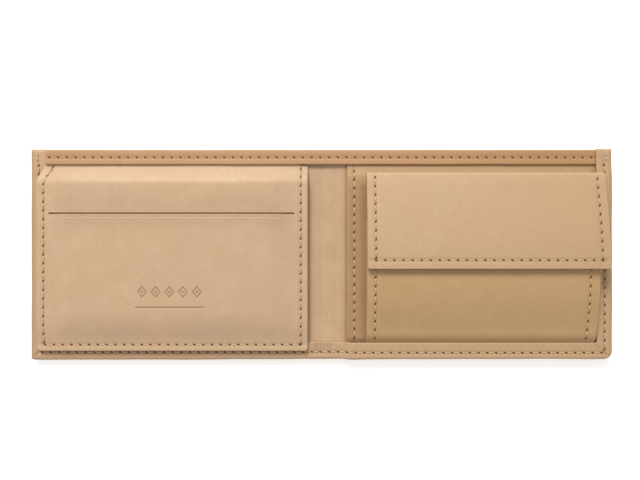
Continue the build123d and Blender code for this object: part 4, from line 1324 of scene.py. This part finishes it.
def stitch_points(start, end, surface, up, lean):
    """One stitch between two holes: rings of points round its middle line, and how much each is lit."""
    start, end = np.array(start, float), np.array(end, float)
    along = (end - start) / np.linalg.norm(end - start)
    aside = np.array([-along[1], along[0]])
    first_half = [(DIVE, -0.30), (DIVE + 0.05, -0.05), (DIVE + 0.12, 0.06), (0.33, 0.10), (0.42, 0.12)]
    second_half = [(1 - share, rise) for share, rise in reversed(first_half)]
    rings, lit = [], []
    for share, rise in [*first_half, (0.5, 0.12), *second_half]:
        plan = start + (end - start) * share + aside * lean * (share - 0.5)
        level = float(surface(plan[0], plan[1])) + up * rise
        swell = 0.75 + 0.25 * math.sin(math.pi * (share - DIVE) / (1 - 2 * DIVE))
        ring, shades = [], []
        for k in range(THREAD_SIDES):
            angle = 2 * math.pi * k / THREAD_SIDES
            ply = abs(math.cos(angle - 2 * math.pi * share * 1.1))
            size = swell * (0.80 + 0.20 * ply)
            across, lift = 0.31 * size * math.cos(angle), 0.19 * size * math.sin(angle)
            ring.append((plan[0] + aside[0] * across, plan[1] + aside[1] * across, level + up * lift))
            shades.append(ply)
        rings.append(ring)
        lit.append(shades)
    return rings, lit


def thread_mesh(name, stitches, replaced, body=None, material=seam_thread):
    """One mesh from the stitches of a seam. stitches are (start, end, surface, up, lean)."""
    points, faces, lit = [], [], []
    for start, end, surface, up, lean in stitches:
        rings, shades = stitch_points(start, end, surface, up, lean)
        first = len(points)
        for ring, shade in zip(rings, shades):
            points += ring
            lit += shade
        n = THREAD_SIDES
        for near in range(first, first + (len(rings) - 1) * n, n):
            far = near + n
            for k in range(n):
                m = (k + 1) % n
                faces.append([near + k, near + m, far + m, far + k])
        faces.append([first + k for k in range(n)][::-1])
        faces.append([first + (len(rings) - 1) * n + k for k in range(n)])
    mesh = bpy.data.meshes.new(name)
    mesh.from_pydata((np.array(points) * MM).tolist(), [], faces)
    mesh.materials.append(material)
    mesh.polygons.foreach_set("use_smooth", [True] * len(mesh.polygons))
    mesh.attributes.new("ply", "FLOAT", "POINT").data.foreach_set("value", np.array(lit, np.float32))
    thread = bpy.data.objects.new(name, mesh)
    bpy.context.scene.collection.objects.link(thread)
    keep_rest(thread)
    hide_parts(*replaced)
    if body:
        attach(thread, body)
    return thread


def row_stitches(seam, surface, up=1):
    """The stitches of one row, on a surface of the leather. up is -1 on an underside."""
    holes = [seam.first + k * STITCH_PITCH for k in range(seam.count + 1)]
    lean = 0.22 * up * (1 if seam.along_y else -1)
    sunk = 0.0 if seam.along_y else SUNK * up
    bed = lambda x, y: surface(x, y) - sunk
    return [(row_place(seam, a), row_place(seam, b), bed, up, lean) for a, b in zip(holes, holes[1:])]


print("thread sides:", THREAD_SIDES)

# %% [markdown]
# The seams: round the cover (seen inside and outside), along the band, round the card leaf (front and
# back), along the coin panel's edge, up both sides of the pocket, and round the flap.

# %% All seams
def rim_surface(x, y):
    return rim_level(x, y) - 0.19


def level_surface(level):
    return lambda x, y: level


def panel_surface(x, y):
    """The gusset's leg as far as it reaches, and the coin panel above it."""
    sunk = soft_step(-y, -HEM_HIGH[1] - 1.8, -HEM_HIGH[1] - 0.1)
    on_gusset = 1 - soft_step(y, GUSSET_TOP - 0.6, GUSSET_TOP + 0.6)
    under_band = soft_step(y, 27.0, BAND_LOW_Y - 0.2)
    field = PANEL_FIELD - 0.12 + (BAND_UNDER - PANEL_FIELD) * under_band
    return field + GUSSET * on_gusset + (BORDER_LEVEL - PANEL_FIELD) * sunk


def seam_nodes(seam):
    """The solids of a seam that runs across the whole wallet."""
    return [f"{seam}_seam_{part}" for part in ("left", "spine", "right")]


rim_stitches = [s for seam in rim_rows.values() for s in row_stitches(seam, rim_surface)]
rim_thread = thread_mesh("rim_thread", rim_stitches, seam_nodes("perimeter"))
outside_stitches = [s for seam in rim_rows.values() for s in row_stitches(seam, level_surface(0.34), -1)]
outside_thread = thread_mesh("outside_thread", outside_stitches, seam_nodes("outside"))
band_stitches = row_stitches(band_rows["band"], level_surface(BAND_TOP - 0.19))
band_thread = thread_mesh("band_thread", band_stitches, seam_nodes("band"), material=band_cord)
for thread in (rim_thread, outside_thread, band_thread):
    bend_over_spine(thread)

leaf_stitches = [s for seam in leaf_rows.values() for s in row_stitches(seam, leaf_height)]
leaf_stitches += [s for seam in leaf_rows.values() for s in row_stitches(seam, leaf_underside, -1)]
thread_mesh("leaf_thread", leaf_stitches, ["leaf_seam"], "card_leaf")
panel_stitches = row_stitches(panel_rows["edge"], panel_surface)
thread_mesh("panel_thread", panel_stitches, ["panel_edge_seam"], "right_half")
pocket_stitches = [s for seam in pocket_rows.values() for s in row_stitches(seam, front_height)]
thread_mesh("pocket_thread", pocket_stitches, ["pocket_side_seams"], "coin_front")
flap_stitches = [s for seam in flap_rows.values() for s in row_stitches(seam, flap_height)]
inner = lambda x, y: flap_height(x, y) - 1.38
flap_stitches += [s for seam in flap_rows.values() for s in row_stitches(seam, inner, -1)]
thread_mesh("flap_thread", flap_stitches, ["flap_seam"], "coin_flap")

# %% [markdown]
# Two thread tacks lock the ends of the long seam, where the cover and the band meet.

# %% The tacks
for node, body in (("tack_left", "left_half"), ("tack_right", "right_half")):
    low, high = box(node)
    surface = lambda x, y: rim_level(x, y) - 0.05
    x, half = (low[0] + high[0]) / 2, TACK_LENGTH / 2
    holes = [(x - 0.1, high[1]), (x + 0.15, high[1] - half), (x + 0.05, high[1] - TACK_LENGTH)]
    wraps = [(b, a, surface, 1, 0.1) for a, b in zip(holes, holes[1:])]
    tack = thread_mesh(node + "_wraps", wraps, [node], body, tack_thread)
    print(tack.name, len(tack.data.vertices), "points")

# %% [markdown]
# ## The end of the script

# %% Finish
bpy.context.view_layer.update()
